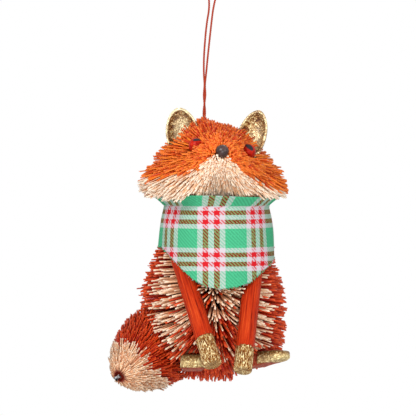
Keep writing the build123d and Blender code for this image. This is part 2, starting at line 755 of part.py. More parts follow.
def body_orange_arc(height_share):
    """Arc of the orange back, which closes to a full turn below the chest."""
    half = 180 - body_cream_half_angle - edge_angle(body_root_reach(0, height_share))
    back_angle = body_front_angle + 180
    return (back_angle - half, back_angle + half) if height_share > cream_bottom_share else (-180, 180)


def head_cream_arc(height_share):
    """Arc of the cream chin and lower cheeks."""
    margin = edge_angle(head_root_reach(head_cream_first_angle, height_share))
    return head_cream_first_angle + margin, head_cream_last_angle - margin


def head_orange_arc(height_share):
    """Arc of the orange brow, crown and upper cheeks."""
    margin = edge_angle(head_root_reach(head_cream_first_angle, height_share))
    return head_cream_last_angle + margin, head_cream_first_angle + 360 - margin


def tail_cream_arc(height_share):
    """Full turn near the tip of the tail."""
    return (-180, 180) if height_share > tail_cream_share else None


def tail_orange_arc(height_share):
    """Full turn near the base of the tail."""
    return None if height_share > tail_cream_share else (-180, 180)


def strands_of(frame, turns, length, reach, root_reach, spacing, arc, others):
    """Bristle strands of one brush, each from its packed roots to the trimmed surface."""
    strands = []
    near = obstacles + others
    for number, (root_share, tip_share, size_share) in enumerate(turns):
        if arc(root_share) is None:
            continue
        late = 0.5 * (number % 2)
        for angle in tip_angles(*arc(root_share), spacing / size_share, reach, late):
            root = at_height(frame, root_reach(angle, root_share), angle, root_share * length)
            tip = at_height(frame, reach(angle) * size_share, angle, tip_share * length)
            heading = (tip - root).normalized()
            span = (tip - root).length
            while span > strand_least and under_scarf(root + heading * span):
                span -= strand_width / 4
            clear = False
            while span > strand_least and not clear:
                ends = (tuple(root), tuple(root + heading * span))
                clear = all(segment_gap(*ends, start, end) > radius + strand_reach + strand_gap
                            for start, end, radius in near + taken)
                if not clear:
                    span -= strand_width
            if clear:
                taken.append((*ends, strand_reach))
                start = root - heading * strand_embed
                with BuildPart() as strand:
                    with BuildSketch(Plane(origin=start, z_dir=heading)):
                        RegularPolygon(strand_reach, strand_sides)
                    extrude(amount=span + strand_embed)
                strands.append(strand.part)
    return strands


def root_stretches(frame, shares, length, radius_at):
    """Packed roots of a brush as round stretches along its wire."""
    for (low, low_size), (high, high_size) in zip(shares, shares[1:]):
        yield (tuple(at_height(frame, 0, 0, low * length)), tuple(at_height(frame, 0, 0, high * length)),
               radius_at * max(low_size, high_size))


body_core = list(root_stretches(body_frame, body_root_shares, body_height, body_radius))
head_core = list(root_stretches(head_frame, head_root_shares, head_length,
                                head_root_share * head_outline(body_front_angle)))
tail_core = list(root_stretches(tail_frame, tail_root_shares, tail_length, tail_radius))

head_orange_strands = strands_of(head_frame, head_turn_shares, head_length, head_outline, head_root_reach,
                                 head_tip_spacing, head_orange_arc, body_core)
head_cream_strands = strands_of(head_frame, head_turn_shares, head_length, head_outline, head_root_reach,
                                head_tip_spacing, head_cream_arc, body_core)
tail_cream_strands = strands_of(tail_frame, tail_turn_shares, tail_length, tail_outline, tail_root_reach,
                                tail_tip_spacing, tail_cream_arc, body_core)
tail_orange_strands = strands_of(tail_frame, tail_turn_shares, tail_length, tail_outline, tail_root_reach,
                                 tail_tip_spacing, tail_orange_arc, body_core)
body_cream_strands = strands_of(body_frame, body_turn_shares, body_height, body_outline, body_root_reach,
                                body_tip_spacing, body_cream_arc, head_core + tail_core)
body_orange_strands = strands_of(body_frame, body_turn_shares, body_height, body_outline, body_root_reach,
                                 body_tip_spacing, body_orange_arc, head_core + tail_core)
counts = [len(s) for s in (head_orange_strands, head_cream_strands, tail_cream_strands,
                           tail_orange_strands, body_cream_strands, body_orange_strands)]
print("strands", counts, sum(counts))

# Bristle pieces: a slice of the packed roots, its pockets and channels, and its strands
with BuildPart() as body_bristles_cream:
    add(body_roots.part)
    add(body_sector, mode=Mode.INTERSECT)
    add([body_wire_channel] + pin_bores, mode=Mode.SUBTRACT)
    add(body_cream_strands)
body_bristles_cream.part.label = "body_bristles_cream"

with BuildPart() as body_bristles_orange:
    add(body_roots.part)
    add([body_sector, body_wire_channel, tail_channel] + pin_bores + foot_pockets, mode=Mode.SUBTRACT)
    add(body_orange_strands)
body_bristles_orange.part.label = "body_bristles_orange"

head_pockets = [head_wire_channel, body_wire_channel, tie_pocket, twine_channel] + ear_pockets
head_pockets += [bead(place, eye_diameter + 2 * seat_gap) for place in eye_places.values()]

with BuildPart() as head_bristles_cream:
    add(head_roots.part)
    add(head_sector, mode=Mode.INTERSECT)
    add(head_pockets, mode=Mode.SUBTRACT)
    add(head_cream_strands)
head_bristles_cream.part.label = "head_bristles_cream"

with BuildPart() as head_bristles_orange:
    add(head_roots.part)
    add([head_sector] + head_pockets, mode=Mode.SUBTRACT)
    add(head_orange_strands)
head_bristles_orange.part.label = "head_bristles_orange"

with BuildPart() as tail_bristles_cream:
    add(tail_roots.part)
    add(tail_sector.part, mode=Mode.INTERSECT)
    add(tail_channel, mode=Mode.SUBTRACT)
    add(tail_cream_strands)
tail_bristles_cream.part.label = "tail_bristles_cream"

with BuildPart() as tail_bristles_orange:
    add(tail_roots.part)
    add([tail_sector.part, tail_channel], mode=Mode.SUBTRACT)
    add(tail_orange_strands)
tail_bristles_orange.part.label = "tail_bristles_orange"

# Each piece goes to its own file
pieces = [body_wire, head_wire, tail_wire, body_bristles_orange, body_bristles_cream, head_bristles_orange,
          head_bristles_cream, tail_bristles_orange, tail_bristles_cream, nose, scarf, twine_tie,
          hanging_twine, *eyes.values(), *ears.values(), *legs.values(), *leg_pins.values(), *feet.values()]
os.makedirs("parts", exist_ok=True)
for piece in pieces:
    export_step(piece.part, "parts/" + piece.part.label + ".step")
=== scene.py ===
# %% [markdown]
# A small fox to hang on a tree. The real one is made of three bottle brushes: dyed plant fibre is laid
# between two wires, the wires are twisted so that the fibre stands out all round, and the brush is then
# trimmed to a shape. A head, a body and a tail are made like this and wired together. Wooden beads, gilt
# seed pods, painted sticks and a scrap of tartan finish the animal, and a piece of twine hangs it up.
# The camera and the twine come first, then each material and piece in the order of a maker's bench.

# %% Load the frame that the solids give
import bmesh
import bpy
import numpy as np
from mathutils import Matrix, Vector


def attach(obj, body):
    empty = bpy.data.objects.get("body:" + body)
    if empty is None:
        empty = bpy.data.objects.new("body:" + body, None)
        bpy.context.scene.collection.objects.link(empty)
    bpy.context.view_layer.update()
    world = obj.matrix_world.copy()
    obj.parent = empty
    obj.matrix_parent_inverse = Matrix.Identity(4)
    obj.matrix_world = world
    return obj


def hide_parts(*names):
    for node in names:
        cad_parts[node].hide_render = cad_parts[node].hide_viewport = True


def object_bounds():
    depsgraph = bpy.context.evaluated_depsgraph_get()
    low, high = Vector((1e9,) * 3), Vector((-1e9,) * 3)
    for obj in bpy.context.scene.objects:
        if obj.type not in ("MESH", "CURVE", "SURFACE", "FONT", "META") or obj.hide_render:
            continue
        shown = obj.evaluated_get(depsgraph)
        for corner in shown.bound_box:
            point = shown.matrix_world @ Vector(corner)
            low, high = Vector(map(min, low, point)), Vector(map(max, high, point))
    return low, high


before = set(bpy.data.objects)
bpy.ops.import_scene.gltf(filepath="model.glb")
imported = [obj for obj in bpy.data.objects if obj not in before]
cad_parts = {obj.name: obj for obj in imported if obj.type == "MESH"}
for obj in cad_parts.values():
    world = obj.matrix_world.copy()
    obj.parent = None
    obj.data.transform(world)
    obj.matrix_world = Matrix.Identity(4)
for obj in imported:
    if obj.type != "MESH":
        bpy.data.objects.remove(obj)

cad_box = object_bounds()
mm = 0.001
print("CAD box in mm", [[round(v / mm, 1) for v in corner] for corner in cad_box])

# %% [markdown]
# The photograph looks slightly up at the fox, as one does at a thing that hangs. A long lens keeps the
# perspective mild, and the place of the camera follows from the size of the fox and its share of the frame.

# %% Camera
def put(name, data):
    """New object in the scene that shows this data, at the origin and unturned."""
    made = bpy.data.objects.new(name, data)
    bpy.context.scene.collection.objects.link(made)
    return made


camera_tilt = np.radians(8.0)
look_at = np.array([-2.2, 0.0, -106.4])
camera_distance = 600.0
ahead = np.array([0.0, np.cos(camera_tilt), np.sin(camera_tilt)])
camera_data = bpy.data.cameras.new("camera")
camera_data.lens = 117.2
camera_data.sensor_width = 36.0
camera_data.clip_start = 0.02
camera = put("camera", camera_data)
camera.location = (look_at - camera_distance * ahead) * mm
camera.rotation_euler = (np.pi / 2 + camera_tilt, 0, 0)
bpy.context.scene.camera = camera


def seen_at(points):
    """Where points appear in the picture: across and up, in millimetres at the distance of the fox."""
    rise = np.array([0.0, -np.sin(camera_tilt), np.cos(camera_tilt)])
    near = camera_distance / (camera_distance + (points - look_at) @ ahead)
    return (points - look_at)[..., 0] * near, (points - look_at) @ rise * near

# %% [markdown]
# A white room: soft lights above on the left, on the right, below and behind, and an even glow from all
# round so that no bristle casts a hard shadow. The camera, and rays that bounce off gloss or pass through
# clear things, see plain white instead of the glow. The floor is far below the fox and sends light up.

# %% Lights, world and floor
def soft_light(name, place, size, power):
    """Square lamp that points at the middle of the fox."""
    data = bpy.data.lights.new(name, "AREA")
    data.size = size
    data.energy = power
    lamp = put(name, data)
    lamp.location = np.array(place)
    lamp.rotation_euler = (Vector(look_at * mm) - lamp.location).to_track_quat("-Z", "Y").to_euler()


soft_light("key", (-0.35, -0.75, 0.25), 0.4, 5.2)
soft_light("fill", (0.6, -0.55, -0.05), 0.5, 1.6)
soft_light("low", (0.05, -0.75, -0.45), 0.5, 4.4)
soft_light("back", (0.1, 0.6, 0.35), 0.5, 1.0)

world = bpy.data.worlds.new("white_room")
bpy.context.scene.world = world
world.use_nodes = True
world_nodes, join = world.node_tree.nodes, world.node_tree.links.new
glow, white = world_nodes["Background"], world_nodes.new("ShaderNodeBackground")
for background, shade, strength in ((glow, (1.0, 0.99, 0.97, 1), 0.5), (white, (1, 1, 1, 1), 1.0)):
    background.inputs["Color"].default_value = shade
    background.inputs["Strength"].default_value = strength
path = world_nodes.new("ShaderNodeLightPath")
shown = path.outputs["Is Camera Ray"]
for ray in ("Is Glossy Ray", "Is Transmission Ray"):
    largest = world_nodes.new("ShaderNodeMath")
    largest.operation = "MAXIMUM"
    join(shown, largest.inputs[0])
    join(path.outputs[ray], largest.inputs[1])
    shown = largest.outputs[0]
either = world_nodes.new("ShaderNodeMixShader")
for source, target in zip((shown, glow.outputs[0], white.outputs[0]), either.inputs):
    join(source, target)
join(either.outputs[0], world_nodes["World Output"].inputs["Surface"])
bpy.context.scene.view_settings.view_transform = "Standard"

floor_mesh = bpy.data.meshes.new("floor")
floor_half, floor_height = 3, -0.45
floor_corners = [(x * floor_half, y * floor_half, floor_height) for x, y in ((-1, -1), (1, -1), (1, 1), (-1, 1))]
floor_mesh.from_pydata(floor_corners, [], [(0, 1, 2, 3)])
floor = put("floor", floor_mesh)

# %% [markdown]
# Shared tools. Each surface is a numpy function of two parameters on a grid, worked out in millimetres and
# turned into metres when the mesh is made.

# %% Number tools
def unit(v):
    """Direction of each vector, with length one."""
    return v / np.linalg.norm(v, axis=-1, keepdims=True)


def around(angle, first, second):
    """Direction at each angle of a circle: cosine times the first direction plus sine times the second."""
    return np.cos(angle)[..., None] * first + np.sin(angle)[..., None] * second


def straight(start, finish, shares):
    """Points at the given shares of the way from start to finish."""
    return start + (finish - start) * np.asarray(shares)[:, None]


def running(values):
    """Sum of the values so far, from nothing."""
    return np.concatenate([[0], np.cumsum(values)])


def run_along(line):
    """Length along a line of points, up to each of them."""
    return running(np.linalg.norm(np.diff(line, axis=0), axis=1))


def wobble(points, scale, seed):
    """Smooth noise from minus one to one, as a sum of a few waves in random directions."""
    dice = np.random.default_rng(seed)
    total = 0
    for octave in range(3):
        directions = unit(dice.normal(size=(5, 3))) * (2 * np.pi / scale * 1.9 ** octave)
        phases = dice.uniform(0, 2 * np.pi, 5)
        total = total + np.sin(points @ directions.T + phases).sum(-1) * 0.62 ** octave / 5
    return total

# %% Mesh tools
def grid_faces(rows, columns):
    """Four-sided faces of a grid of points, with the last column joined to the first."""
    row, column = np.meshgrid(np.arange(rows - 1), np.arange(columns), indexing="ij")
    here, there = row * columns + column, row * columns + (column + 1) % columns
    return np.stack([here, there, there + columns, here + columns], axis=-1).reshape(-1, 4)


def turn_outwards(mesh, weld):
    """Makes all faces point outwards, after points in one place are merged where asked."""
    edit = bmesh.new()
    edit.from_mesh(mesh)
    if weld:
        bmesh.ops.remove_doubles(edit, verts=edit.verts, dist=1e-6)
    bmesh.ops.recalc_face_normals(edit, faces=edit.faces)
    edit.to_mesh(mesh)
    edit.free()


def piece(name, points, material, replaced=(), faces=None):
    """New piece of the fox from a grid of points in millimetres, or from points with faces of their own.

    It rides on the body and may stand for solids.
    """
    mesh = bpy.data.meshes.new(name)
    mesh_faces = grid_faces(*points.shape[:2]) if faces is None else faces
    mesh.from_pydata((points.reshape(-1, 3) * mm).tolist(), [], mesh_faces.tolist())
    mesh.polygons.foreach_set("use_smooth", np.full(len(mesh.polygons), True))
    mesh.materials.append(material)
    if faces is None:
        turn_outwards(mesh, weld=True)
    made = put(name, mesh)
    if replaced:
        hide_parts(*replaced)
    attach(made, "root")
    print(name, "faces", len(mesh.polygons))
    return made


def note(made, name, values):
    """Keeps one number for each point of a mesh, for its material to read."""
    kept_numbers = made.data.attributes.new(name, "FLOAT", "POINT").data
    kept_numbers.foreach_set("value", np.asarray(values, np.float32).ravel())


def chart(made, name, places):
    """Keeps a flat map: one place of two numbers for each corner of each face."""
    made.data.uv_layers.new(name=name).data.foreach_set("uv", places.astype(np.float32).ravel())


def read(items, what, kind=np.int32, width=1):
    """Values that a mesh keeps for its points, corners or faces."""
    flat = np.empty(len(items) * width, kind)
    items.foreach_get(what, flat)
    return flat


def points_of(mesh):
    """Points of a mesh, in the unit that it is made in."""
    return read(mesh.vertices, "co", np.float32, 3).reshape(-1, 3).astype(float)

# %% [markdown]
# Materials. A shader reads a point's own numbers, such as how far along its fibre it lies, so that paint and
# dye follow the piece. Colours are given as a painter would read them from the screen, from 0 to 255.

# %% Material tools
dark, clear = (0, 0, 0, 1), (1, 1, 1, 1)


def colour(red, green, blue):
    """Screen colour from 0 to 255 as the light values that a shader needs."""
    c = np.array([red, green, blue]) / 255
    return (*np.where(c <= 0.04045, c / 12.92, ((c + 0.055) / 1.055) ** 2.4), 1)


class Recipe:
    """A material under construction, with short calls for the nodes that this fox needs."""

    def __init__(self, name, roughness=0.6, metallic=0.0, specular=0.3):
        self.material = bpy.data.materials.new(name)
        self.material.use_nodes = True
        self.nodes = self.material.node_tree.nodes
        self.shader = self.nodes["Principled BSDF"]
        self.shader.inputs["Roughness"].default_value = roughness
        self.shader.inputs["Metallic"].default_value = metallic
        self.shader.inputs["Specular IOR Level"].default_value = specular

    def link(self, source, target):
        """Joins an output to an input, or sets the input where the source is a number."""
        if isinstance(source, (int, float, tuple)):
            target.default_value = source
        else:
            self.material.node_tree.links.new(source, target)

    def add(self, kind, inputs, **settings):
        """New node with these settings, and with these inputs joined or set."""
        node = self.nodes.new("ShaderNode" + kind)
        for name, value in settings.items():
            setattr(node, name, value)
        for name, source in inputs.items():
            self.link(source, node.inputs[name])
        return node

    def number(self, name):
        """Number kept on the mesh under this name."""
        return self.add("Attribute", {}, attribute_name=name).outputs["Fac"]

    def place(self):
        """Place of a point on the object, in metres."""
        return self.add("TexCoord", {}).outputs["Object"]

    def chart(self, name):
        """Flat map kept on the mesh under this name."""
        return self.add("UVMap", {}, uv_map=name).outputs["UV"]

    def stretched(self, vector, *factors):
        """Vector with its three parts made larger or smaller."""
        return self.add("VectorMath", {0: vector, 1: factors}, operation="MULTIPLY").outputs[0]

    def noise(self, vector, scale, detail=3.0, rough=0.55):
        """Cloudy noise from 0 to 1."""
        inputs = {"Vector": vector, "Scale": scale, "Detail": detail, "Roughness": rough}
        return self.add("TexNoise", inputs).outputs["Fac"]

    def maths(self, operation, a, b=0.0):
        """One sum on numbers."""
        return self.add("Math", {0: a, 1: b}, operation=operation).outputs[0]

    def times(self, a, b):
        """Product of two numbers."""
        return self.maths("MULTIPLY", a, b)

    def plus(self, a, b):
        """Sum of two numbers."""
        return self.maths("ADD", a, b)

    def minus(self, a, b):
        """What is left of the first number without the second."""
        return self.maths("SUBTRACT", a, b)

    def ramp(self, value, stops, sharp=False):
        """Colour that follows a number, through the given stops of (place, colour)."""
        node = self.add("ValToRGB", {0: value})
        node.color_ramp.interpolation = "CONSTANT" if sharp else "LINEAR"
        elements = node.color_ramp.elements
        while len(elements) < len(stops):
            elements.new(0.5)
        for element, (where, shade) in zip(elements, stops):
            element.position = where
            element.color = shade if len(shade) == 4 else colour(*shade)
        return node.outputs[0]

    def fade(self, value, low, high, top=1.0):
        """Nothing below the low value, rising to the top share at the high value."""
        return self.ramp(value, [(low, dark), (high, (top, top, top, 1))])

    def mix(self, share, first, second, how="MIX"):
        """Mix of two colours."""
        inputs = {0: share, 6: first, 7: second}
        return self.add("Mix", inputs, data_type="RGBA", blend_type=how).outputs[2]

    def bump(self, height, depth):
        """Relief of a given depth in metres."""
        node = self.add("Bump", {"Strength": 1.0, "Distance": depth, "Height": height})
        self.link(node.outputs[0], self.shader.inputs["Normal"])

    def colour(self, source):
        """Sets the colour of the surface and gives back the finished material."""
        self.link(source, self.shader.inputs["Base Color"])
        return self.material

# %% [markdown]
# Dyed fibre. One straw is painted darker at its root, as painted shade where light hardly reaches, and
# paler at its cut tip, and the dye never takes alike on two straws. Fine ridges run along it, with
# their sides painted darker as painted shade.

# %% Fibre materials
def fibre(name, *shades):
    """Straw that goes from a root in painted shade to a paler cut tip, with its own tint, and fine ridges along it
    whose sides are in painted shade.
    """
    root, middle, light, tip = (colour(*shade) for shade in shades)
    r = Recipe(name, roughness=0.42, specular=0.2)
    lit = r.mix(r.fade(r.number("along"), 0.1, 0.6), root, r.mix(r.number("tint"), middle, light))
    ended = r.mix(r.fade(r.number("along"), 0.9, 0.99, 0.7), lit, tip)
    # The worn colour serves twice: as painted shade on the sides of each straw's ridges, and in random blotches of
    # uneven dye.
    worn = (0.8, 0.76, 0.72, 1)
    ridge_relief_and_shade = r.ramp(r.number("ridge_relief_and_shade"), [(0.0, worn), (0.4, clear)])
    blotch = r.ramp(r.noise(r.place(), 900, 2.0), [(0.35, worn), (0.6, clear)])
    r.bump(r.number("ridge_relief_and_shade"), 0.00005)
    return r.colour(r.mix(0.5, r.mix(1.0, ended, ridge_relief_and_shade, "MULTIPLY"), blotch, "MULTIPLY"))


# The third and fourth fibres are darker copies of the orange and cream ones: painted shade for the body and the tail.
orange_fibre = fibre("orange_fibre", (112, 6, 0), (202, 46, 6), (255, 138, 44), (246, 132, 58))
shaded_orange_fibre = fibre("shaded_orange_fibre", (80, 2, 0), (156, 17, 2), (215, 66, 18), (230, 92, 42))
cream_fibre = fibre("cream_fibre", (158, 66, 36), (230, 174, 132), (255, 226, 196), (255, 242, 226))
shaded_cream_fibre = fibre("shaded_cream_fibre", (112, 22, 6), (202, 138, 98), (244, 204, 166), (255, 238, 216))

# %% [markdown]
# Twine. Jute is spun into plies and the plies are laid round each other, so the surface is a screw of
# fine fibre. Its crowns are painted lighter and its valleys darker, as painted light and shade.

# %% Twine material
r = Recipe("twine", roughness=0.75, specular=0.2)
strand = r.noise(r.stretched(r.place(), 1, 1, 0.35), 5200)
# The kept number tint says how far out a point lies on its ply: outer crowns get painted light and inner sides painted
# shade.
shade = r.mix(r.number("tint"), colour(134, 30, 14), colour(186, 68, 38))
r.bump(strand, 0.00008)
# Low places of the strand noise are darkened as painted shade in the grooves between fibres.
valleys = r.ramp(strand, [(0.3, (0.5, 0.4, 0.36, 1)), (0.65, clear)])
twine_material = r.colour(r.mix(0.5, shade, valleys, "MULTIPLY"))

# %% [markdown]
# The twine is one length. It is knotted round the wire of the head, its two legs are twisted round each
# other up to a point, and above that they part and meet again over the hook. The places below are those of
# the solid.

# %% Route of the twine
head_yaw, head_pitch = np.radians(8.0), np.radians(4.0)
head_along = np.array([np.sin(head_yaw) * np.cos(head_pitch), -np.cos(head_yaw) * np.cos(head_pitch),
                       -np.sin(head_pitch)])
nose_place = np.array([3.8, -33.0, -86.9])
head_length, head_radius = 50.0, 38.0
head_back = nose_place - head_length * head_along
tie_y = 3.5
tie_place = head_back + (nose_place - head_back) * (tie_y - head_back[1]) / (nose_place[1] - head_back[1])
tie_top = tie_place + np.array([0, 0, 1.9])
pair_radius, twist_length, twine_step = 0.48, 8.5, 4.2
lead_top = np.array([-3.9, 0.0, -67.5])
pair_top = np.array([-3.6, 0.0, -46.5])
left_open = [(-4.1, -38.5), (-3.5, -29.5), (-2.7, -21.5), (-1.6, -15.5), (-1.8, -9.5), (-2.4, -4.6)]
right_open = [(-2.3, -37.5), (-1.4, -29.0), (-0.6, -21.5), (0.1, -15.5), (1.3, -10.0), (2.3, -5.0)]
twine_diameter, hook_radius = 0.9, 2.5
hook = [(-hook_radius, twine_diameter / 2), (hook_radius, twine_diameter / 2)]


def twisted_leg(side):
    """Places of one leg of the twisted pair, half a turn on for each twist length."""
    places = []
    lead_start = np.array([tie_place[0], tie_place[1], tie_top[2]])
    for start, finish in ((lead_start, lead_top), (lead_top, pair_top)):
        steps = round(np.linalg.norm(finish - start) / twine_step)
        centres = straight(start, finish, np.arange(steps) / steps)
        turn = side * np.pi / 2 + np.pi / 2 + (centres[:, 2] - pair_top[2]) * np.pi / twist_length
        places.append(centres + pair_radius * around(turn, np.array([1, 0, 0]), np.array([0, 1, 0])))
    places = np.vstack(places + [pair_top + np.array([[side * pair_radius, 0, 0]])])
    places[0] = (places[1][0], places[1][1], tie_top[2])
    return places


open_loop = np.array([(x, 0, z) for x, z in left_open + hook + right_open[::-1]])
twine_route = np.vstack([twisted_leg(-1), open_loop, twisted_leg(1)[::-1]])
print("route points of the twine", len(twine_route))

# %% [markdown]
# The line through those places is a smooth spline, read off again as even points so that the plies wind at
# an even pitch. It could also be the spline itself with a bevel, but that gives a plain round tube.

# %% Smooth line through the route
def smooth_line(route, spacing):
    """Even points along the spline that has the route as its control points."""
    curve = bpy.data.curves.new("route", "CURVE")
    curve.dimensions = "3D"
    curve.resolution_u = 12
    spline = curve.splines.new("NURBS")
    spline.points.add(len(route) - 1)
    spline.points.foreach_set("co", np.hstack([route, np.ones((len(route), 1))]).ravel())
    spline.order_u = 3
    spline.use_endpoint_u = True
    holder = put("route", curve)
    places = points_of(bpy.data.meshes.new_from_object(holder))
    bpy.data.objects.remove(holder)
    run = run_along(places)
    even = np.arange(0, run[-1], spacing)
    return np.stack([np.interp(even, run, places[:, k]) for k in range(3)], -1), run[-1]


twine_line, twine_length = smooth_line(twine_route, 0.28)
print("length of the twine in mm", round(twine_length, 1))

# %% [markdown]
# Three plies run round that line, a third of a turn apart, with a turn every three millimetres.

# %% Twine plies
def plies(line, count, offset, radius, lay_length, corners=6):
    """Round strands that wind about a line: their points and faces, and how far out each point lies (0 to 1)."""
    heading = unit(np.gradient(line, axis=0))
    out = unit(np.cross(heading, [0.0, 1.0, 0.0]))
    side = np.cross(heading, out)
    turn = 2 * np.pi * (run_along(line) / lay_length + np.arange(count)[:, None] / count)
    angle = 2 * np.pi * np.arange(corners) / corners
    centres = line + offset * around(turn, out, side)
    points = centres[:, :, None] + radius * around(angle, out[:, None], side[:, None])
    faces = grid_faces(len(line), corners) + (np.arange(count) * len(line) * corners)[:, None, None]
    return points.reshape(-1, 3), faces.reshape(-1, 4), 0.5 + 0.5 * np.cos(angle - turn[..., None])


ply_count, ply_offset, ply_radius, ply_turn_length = 3, 0.225, 0.24, 3.0
ply_points, ply_faces, ply_light_and_shade = plies(twine_line, ply_count, ply_offset, ply_radius, ply_turn_length)
twine = piece("twine", ply_points, twine_material, ["hanging_twine"], ply_faces)
# How far out each point lies is kept as tint, for painted light on the crowns and painted shade between plies.
note(twine, "tint", ply_light_and_shade)

# %% [markdown]
# Where things stand. Each brush has its own axes with the third along its wire, and so has each ear and
# foot. Left and right are as one sees them from the front.

# %% Places of the brushes and pieces
class Axes:
    """Place and three directions of a brush."""

    def __init__(self, origin, third, first):
        self.origin = np.array(origin, float)
        self.third = unit(np.array(third, float))
        self.first = unit(np.array(first, float))
        self.second = np.cross(self.third, self.first)

    def points(self, radius, angle, height):
        """Points from a radius and angle about the wire and a height along it."""
        return (self.origin + np.asarray(radius)[..., None] * around(angle, self.first, self.second)
                + np.asarray(height)[..., None] * self.third)


body_bottom, body_height, body_radius = -181.5, 89.5, 32.0
body_axes = Axes((0, 0, body_bottom), (0, 0, 1), (1, 0, 0))
head_axes = Axes(head_back, head_along, (np.cos(head_yaw), np.sin(head_yaw), 0))
tail_base, tail_tip, tail_radius = np.array([-17.0, 8.0, -161.0]), np.array([-40.2, -20.0, -181.3]), 18.6
tail_length = np.linalg.norm(tail_tip - tail_base)
tail_axes = Axes(tail_base, tail_tip - tail_base, np.cross((0, 0, 1), tail_tip - tail_base))
leg_ends = {"left": np.array([(-14.46, -19.07, -130.07), (-0.2, -44.0, -176.6)]),
            "right": np.array([(17.48, -19.04, -133.98), (11.8, -42.0, -179.0)])}
leg_radius = 3.95
eye_places = {"left": np.array([-7.28, -22.97, -82.6]), "right": np.array([15.21, -16.42, -83.95])}
eye_radius, nose_radius, nose_half_width = 3.3, 2.75, 2.82
ear_feet = {"left": np.array([-11.57, -9.03, -85.67]), "right": np.array([13.39, -9.04, -86.01])}
ear_tilts, ear_turns = {"left": 9.0, "right": -18.0}, {"left": 8.0, "right": -22.0}
ear_widths, ear_length = {"left": 7.4, "right": 6.66}, 23.0
heels = {"left": np.array([-8.6, -5.0, -178.38]), "right": np.array([7.77, -4.08, -178.38])}
foot_turns, foot_rises = {"left": 0.0, "right": 50.0}, {"left": 0.0, "right": 6.0}
foot_length, foot_width, heel_width, foot_height = 31.0, 10.2, 8.4, 6.6


def ear_axes(side):
    """Axes of an ear: its middle, across, up to its tip and the way it opens."""
    tilt, turn = np.radians(ear_tilts[side]), np.radians(ear_turns[side])
    up = np.array([-np.sin(tilt), 0, np.cos(tilt)])
    facing = np.array([np.sin(turn), -np.cos(turn), 0])
    across = unit(np.cross(up, facing))
    return ear_feet[side] + up * ear_length / 2, across, up, unit(np.cross(across, up))


def foot_axes(side):
    """Axes of a hind foot: heel, way to the toe, across and up."""
    turn, rise = np.radians(foot_turns[side]), np.radians(foot_rises[side])
    across = np.array([np.cos(turn), np.sin(turn), 0])
    forward = np.array([np.sin(turn), -np.cos(turn), 0]) * np.cos(rise) + np.array([0, 0, np.sin(rise)])
    return heels[side], forward, across, np.cross(forward, across)

# %% [markdown]
# A maker trims the fibre so that beads, ears, sticks and cloth lie free. What the fibres must keep clear of
# is listed as thick lines, each with a start, an end and a reach, and the scarf as a surface of its own.

# %% Lines that the fibres keep clear of
obstacles = [(twine_line[0], lead_top, 1.0), (lead_top, pair_top, 1.0), (nose_place, nose_place, nose_radius)]
obstacles += [(top, end, leg_radius + 0.3) for top, end in leg_ends.values()]
obstacles += [(place, place, eye_radius + 0.2) for place in eye_places.values()]
left_pupil = eye_places["left"] + np.array([0, 0, 1.2])
obstacles += [(eye_places["right"], eye_places["right"] + np.array([1.0, -9.0, -1.0]), eye_radius - 0.2),
              (left_pupil, left_pupil + np.array([0.5, -9.0, 0]), 1.9)]
for side in ("left", "right"):
    middle, across, up, facing = ear_axes(side)
    for share in (-0.62, 0.0, 0.62):
        depth = ear_widths[side] * np.sqrt(1 - share ** 2)
        reach = ear_length / 2 * (1 - abs(share) / 2)
        line = middle + across * share * ear_widths[side] - facing * depth / 2
        obstacles.append((line - up * reach, line + up * reach, ear_widths[side] / 2))
    heel, forward, across, up = foot_axes(side)
    for shift in (-1, 1):
        start = heel + across * shift * (foot_width - foot_height) / 2 + up * foot_height / 2
        obstacles.append((start, start + forward * (foot_length - foot_height / 2), foot_height / 2 + 0.3))
print("obstacles", len(obstacles))

scarf_axis = np.array([1.5, -5.0])
crease_radius, collar_slope, chest_slope = 22.8, 1.25, 0.1907
crease_middle, crease_dip = -106.0, 3.9
side_swell, swell_depth = 2.9, 8.0
bib_half_width, hem_radius, back_hem = 26.0, 26.5, -124.0
above_crease, below_hem, beside_cloth = 4.4, 0.4, 1.0
hem_shares = [(-1.1, 0), (-0.97, 0.1), (-0.75, 0.36), (-0.36, 0.8), (-0.15, 0.95), (0.06, 1.0), (0.3, 0.95),
              (0.52, 0.84), (0.8, 0.47), (1.0, 0.16), (1.1, 0)]


def crease_height(turn):
    """Height of the collar's crease at an angle from the front: it dips to the front."""
    return crease_middle - crease_dip * np.cos(turn)


def scarf_radius(z, turn):
    """Outside radius of the scarf: out above the crease, slowly out below it, and most over the chest."""
    below = np.clip(crease_height(turn) - z, 0, None)
    above = np.clip(z - crease_height(turn), 0, None)
    over_sides = side_swell * (1 - np.exp(-below / swell_depth))
    front = np.clip(np.cos(turn), 0, 1)
    return crease_radius + above * collar_slope + over_sides + (chest_slope * below - over_sides) * front


def hem_all_round(x, y):
    """Height of the hem at any place round the neck: level behind, and a round bib between two corners."""
    shares = np.interp((x - scarf_axis[0]) / bib_half_width, *np.transpose(hem_shares))
    corners, drop = (np.interp(x, [-26, 0, 28], heights) for heights in ((-122.5, -125.0, -126.5), (21.5, 20.3, 18.0)))
    return np.where(y < scarf_axis[1], corners - drop * shares, back_hem)


def blocked(points):
    """True for each point that lies in a piece or in the cloth of the scarf."""
    hit = np.zeros(points.shape[:-1], bool)
    for start, end, reach in obstacles:
        run = end - start
        share = np.clip(((points - start) @ run) / max(run @ run, 1e-9), 0, 1)
        hit |= np.linalg.norm(points - start - share[..., None] * run, axis=-1) < reach
    x, y, z = points[..., 0], points[..., 1], points[..., 2]
    from_axis = np.hypot(x - scarf_axis[0], y - scarf_axis[1])
    turn = np.arctan2(x - scarf_axis[0], scarf_axis[1] - y)
    cloth = ((z < crease_height(turn) + above_crease) & (z > hem_all_round(x, y) - below_hem)
             & (np.abs(from_axis - scarf_radius(z, turn)) < beside_cloth))
    return hit | cloth

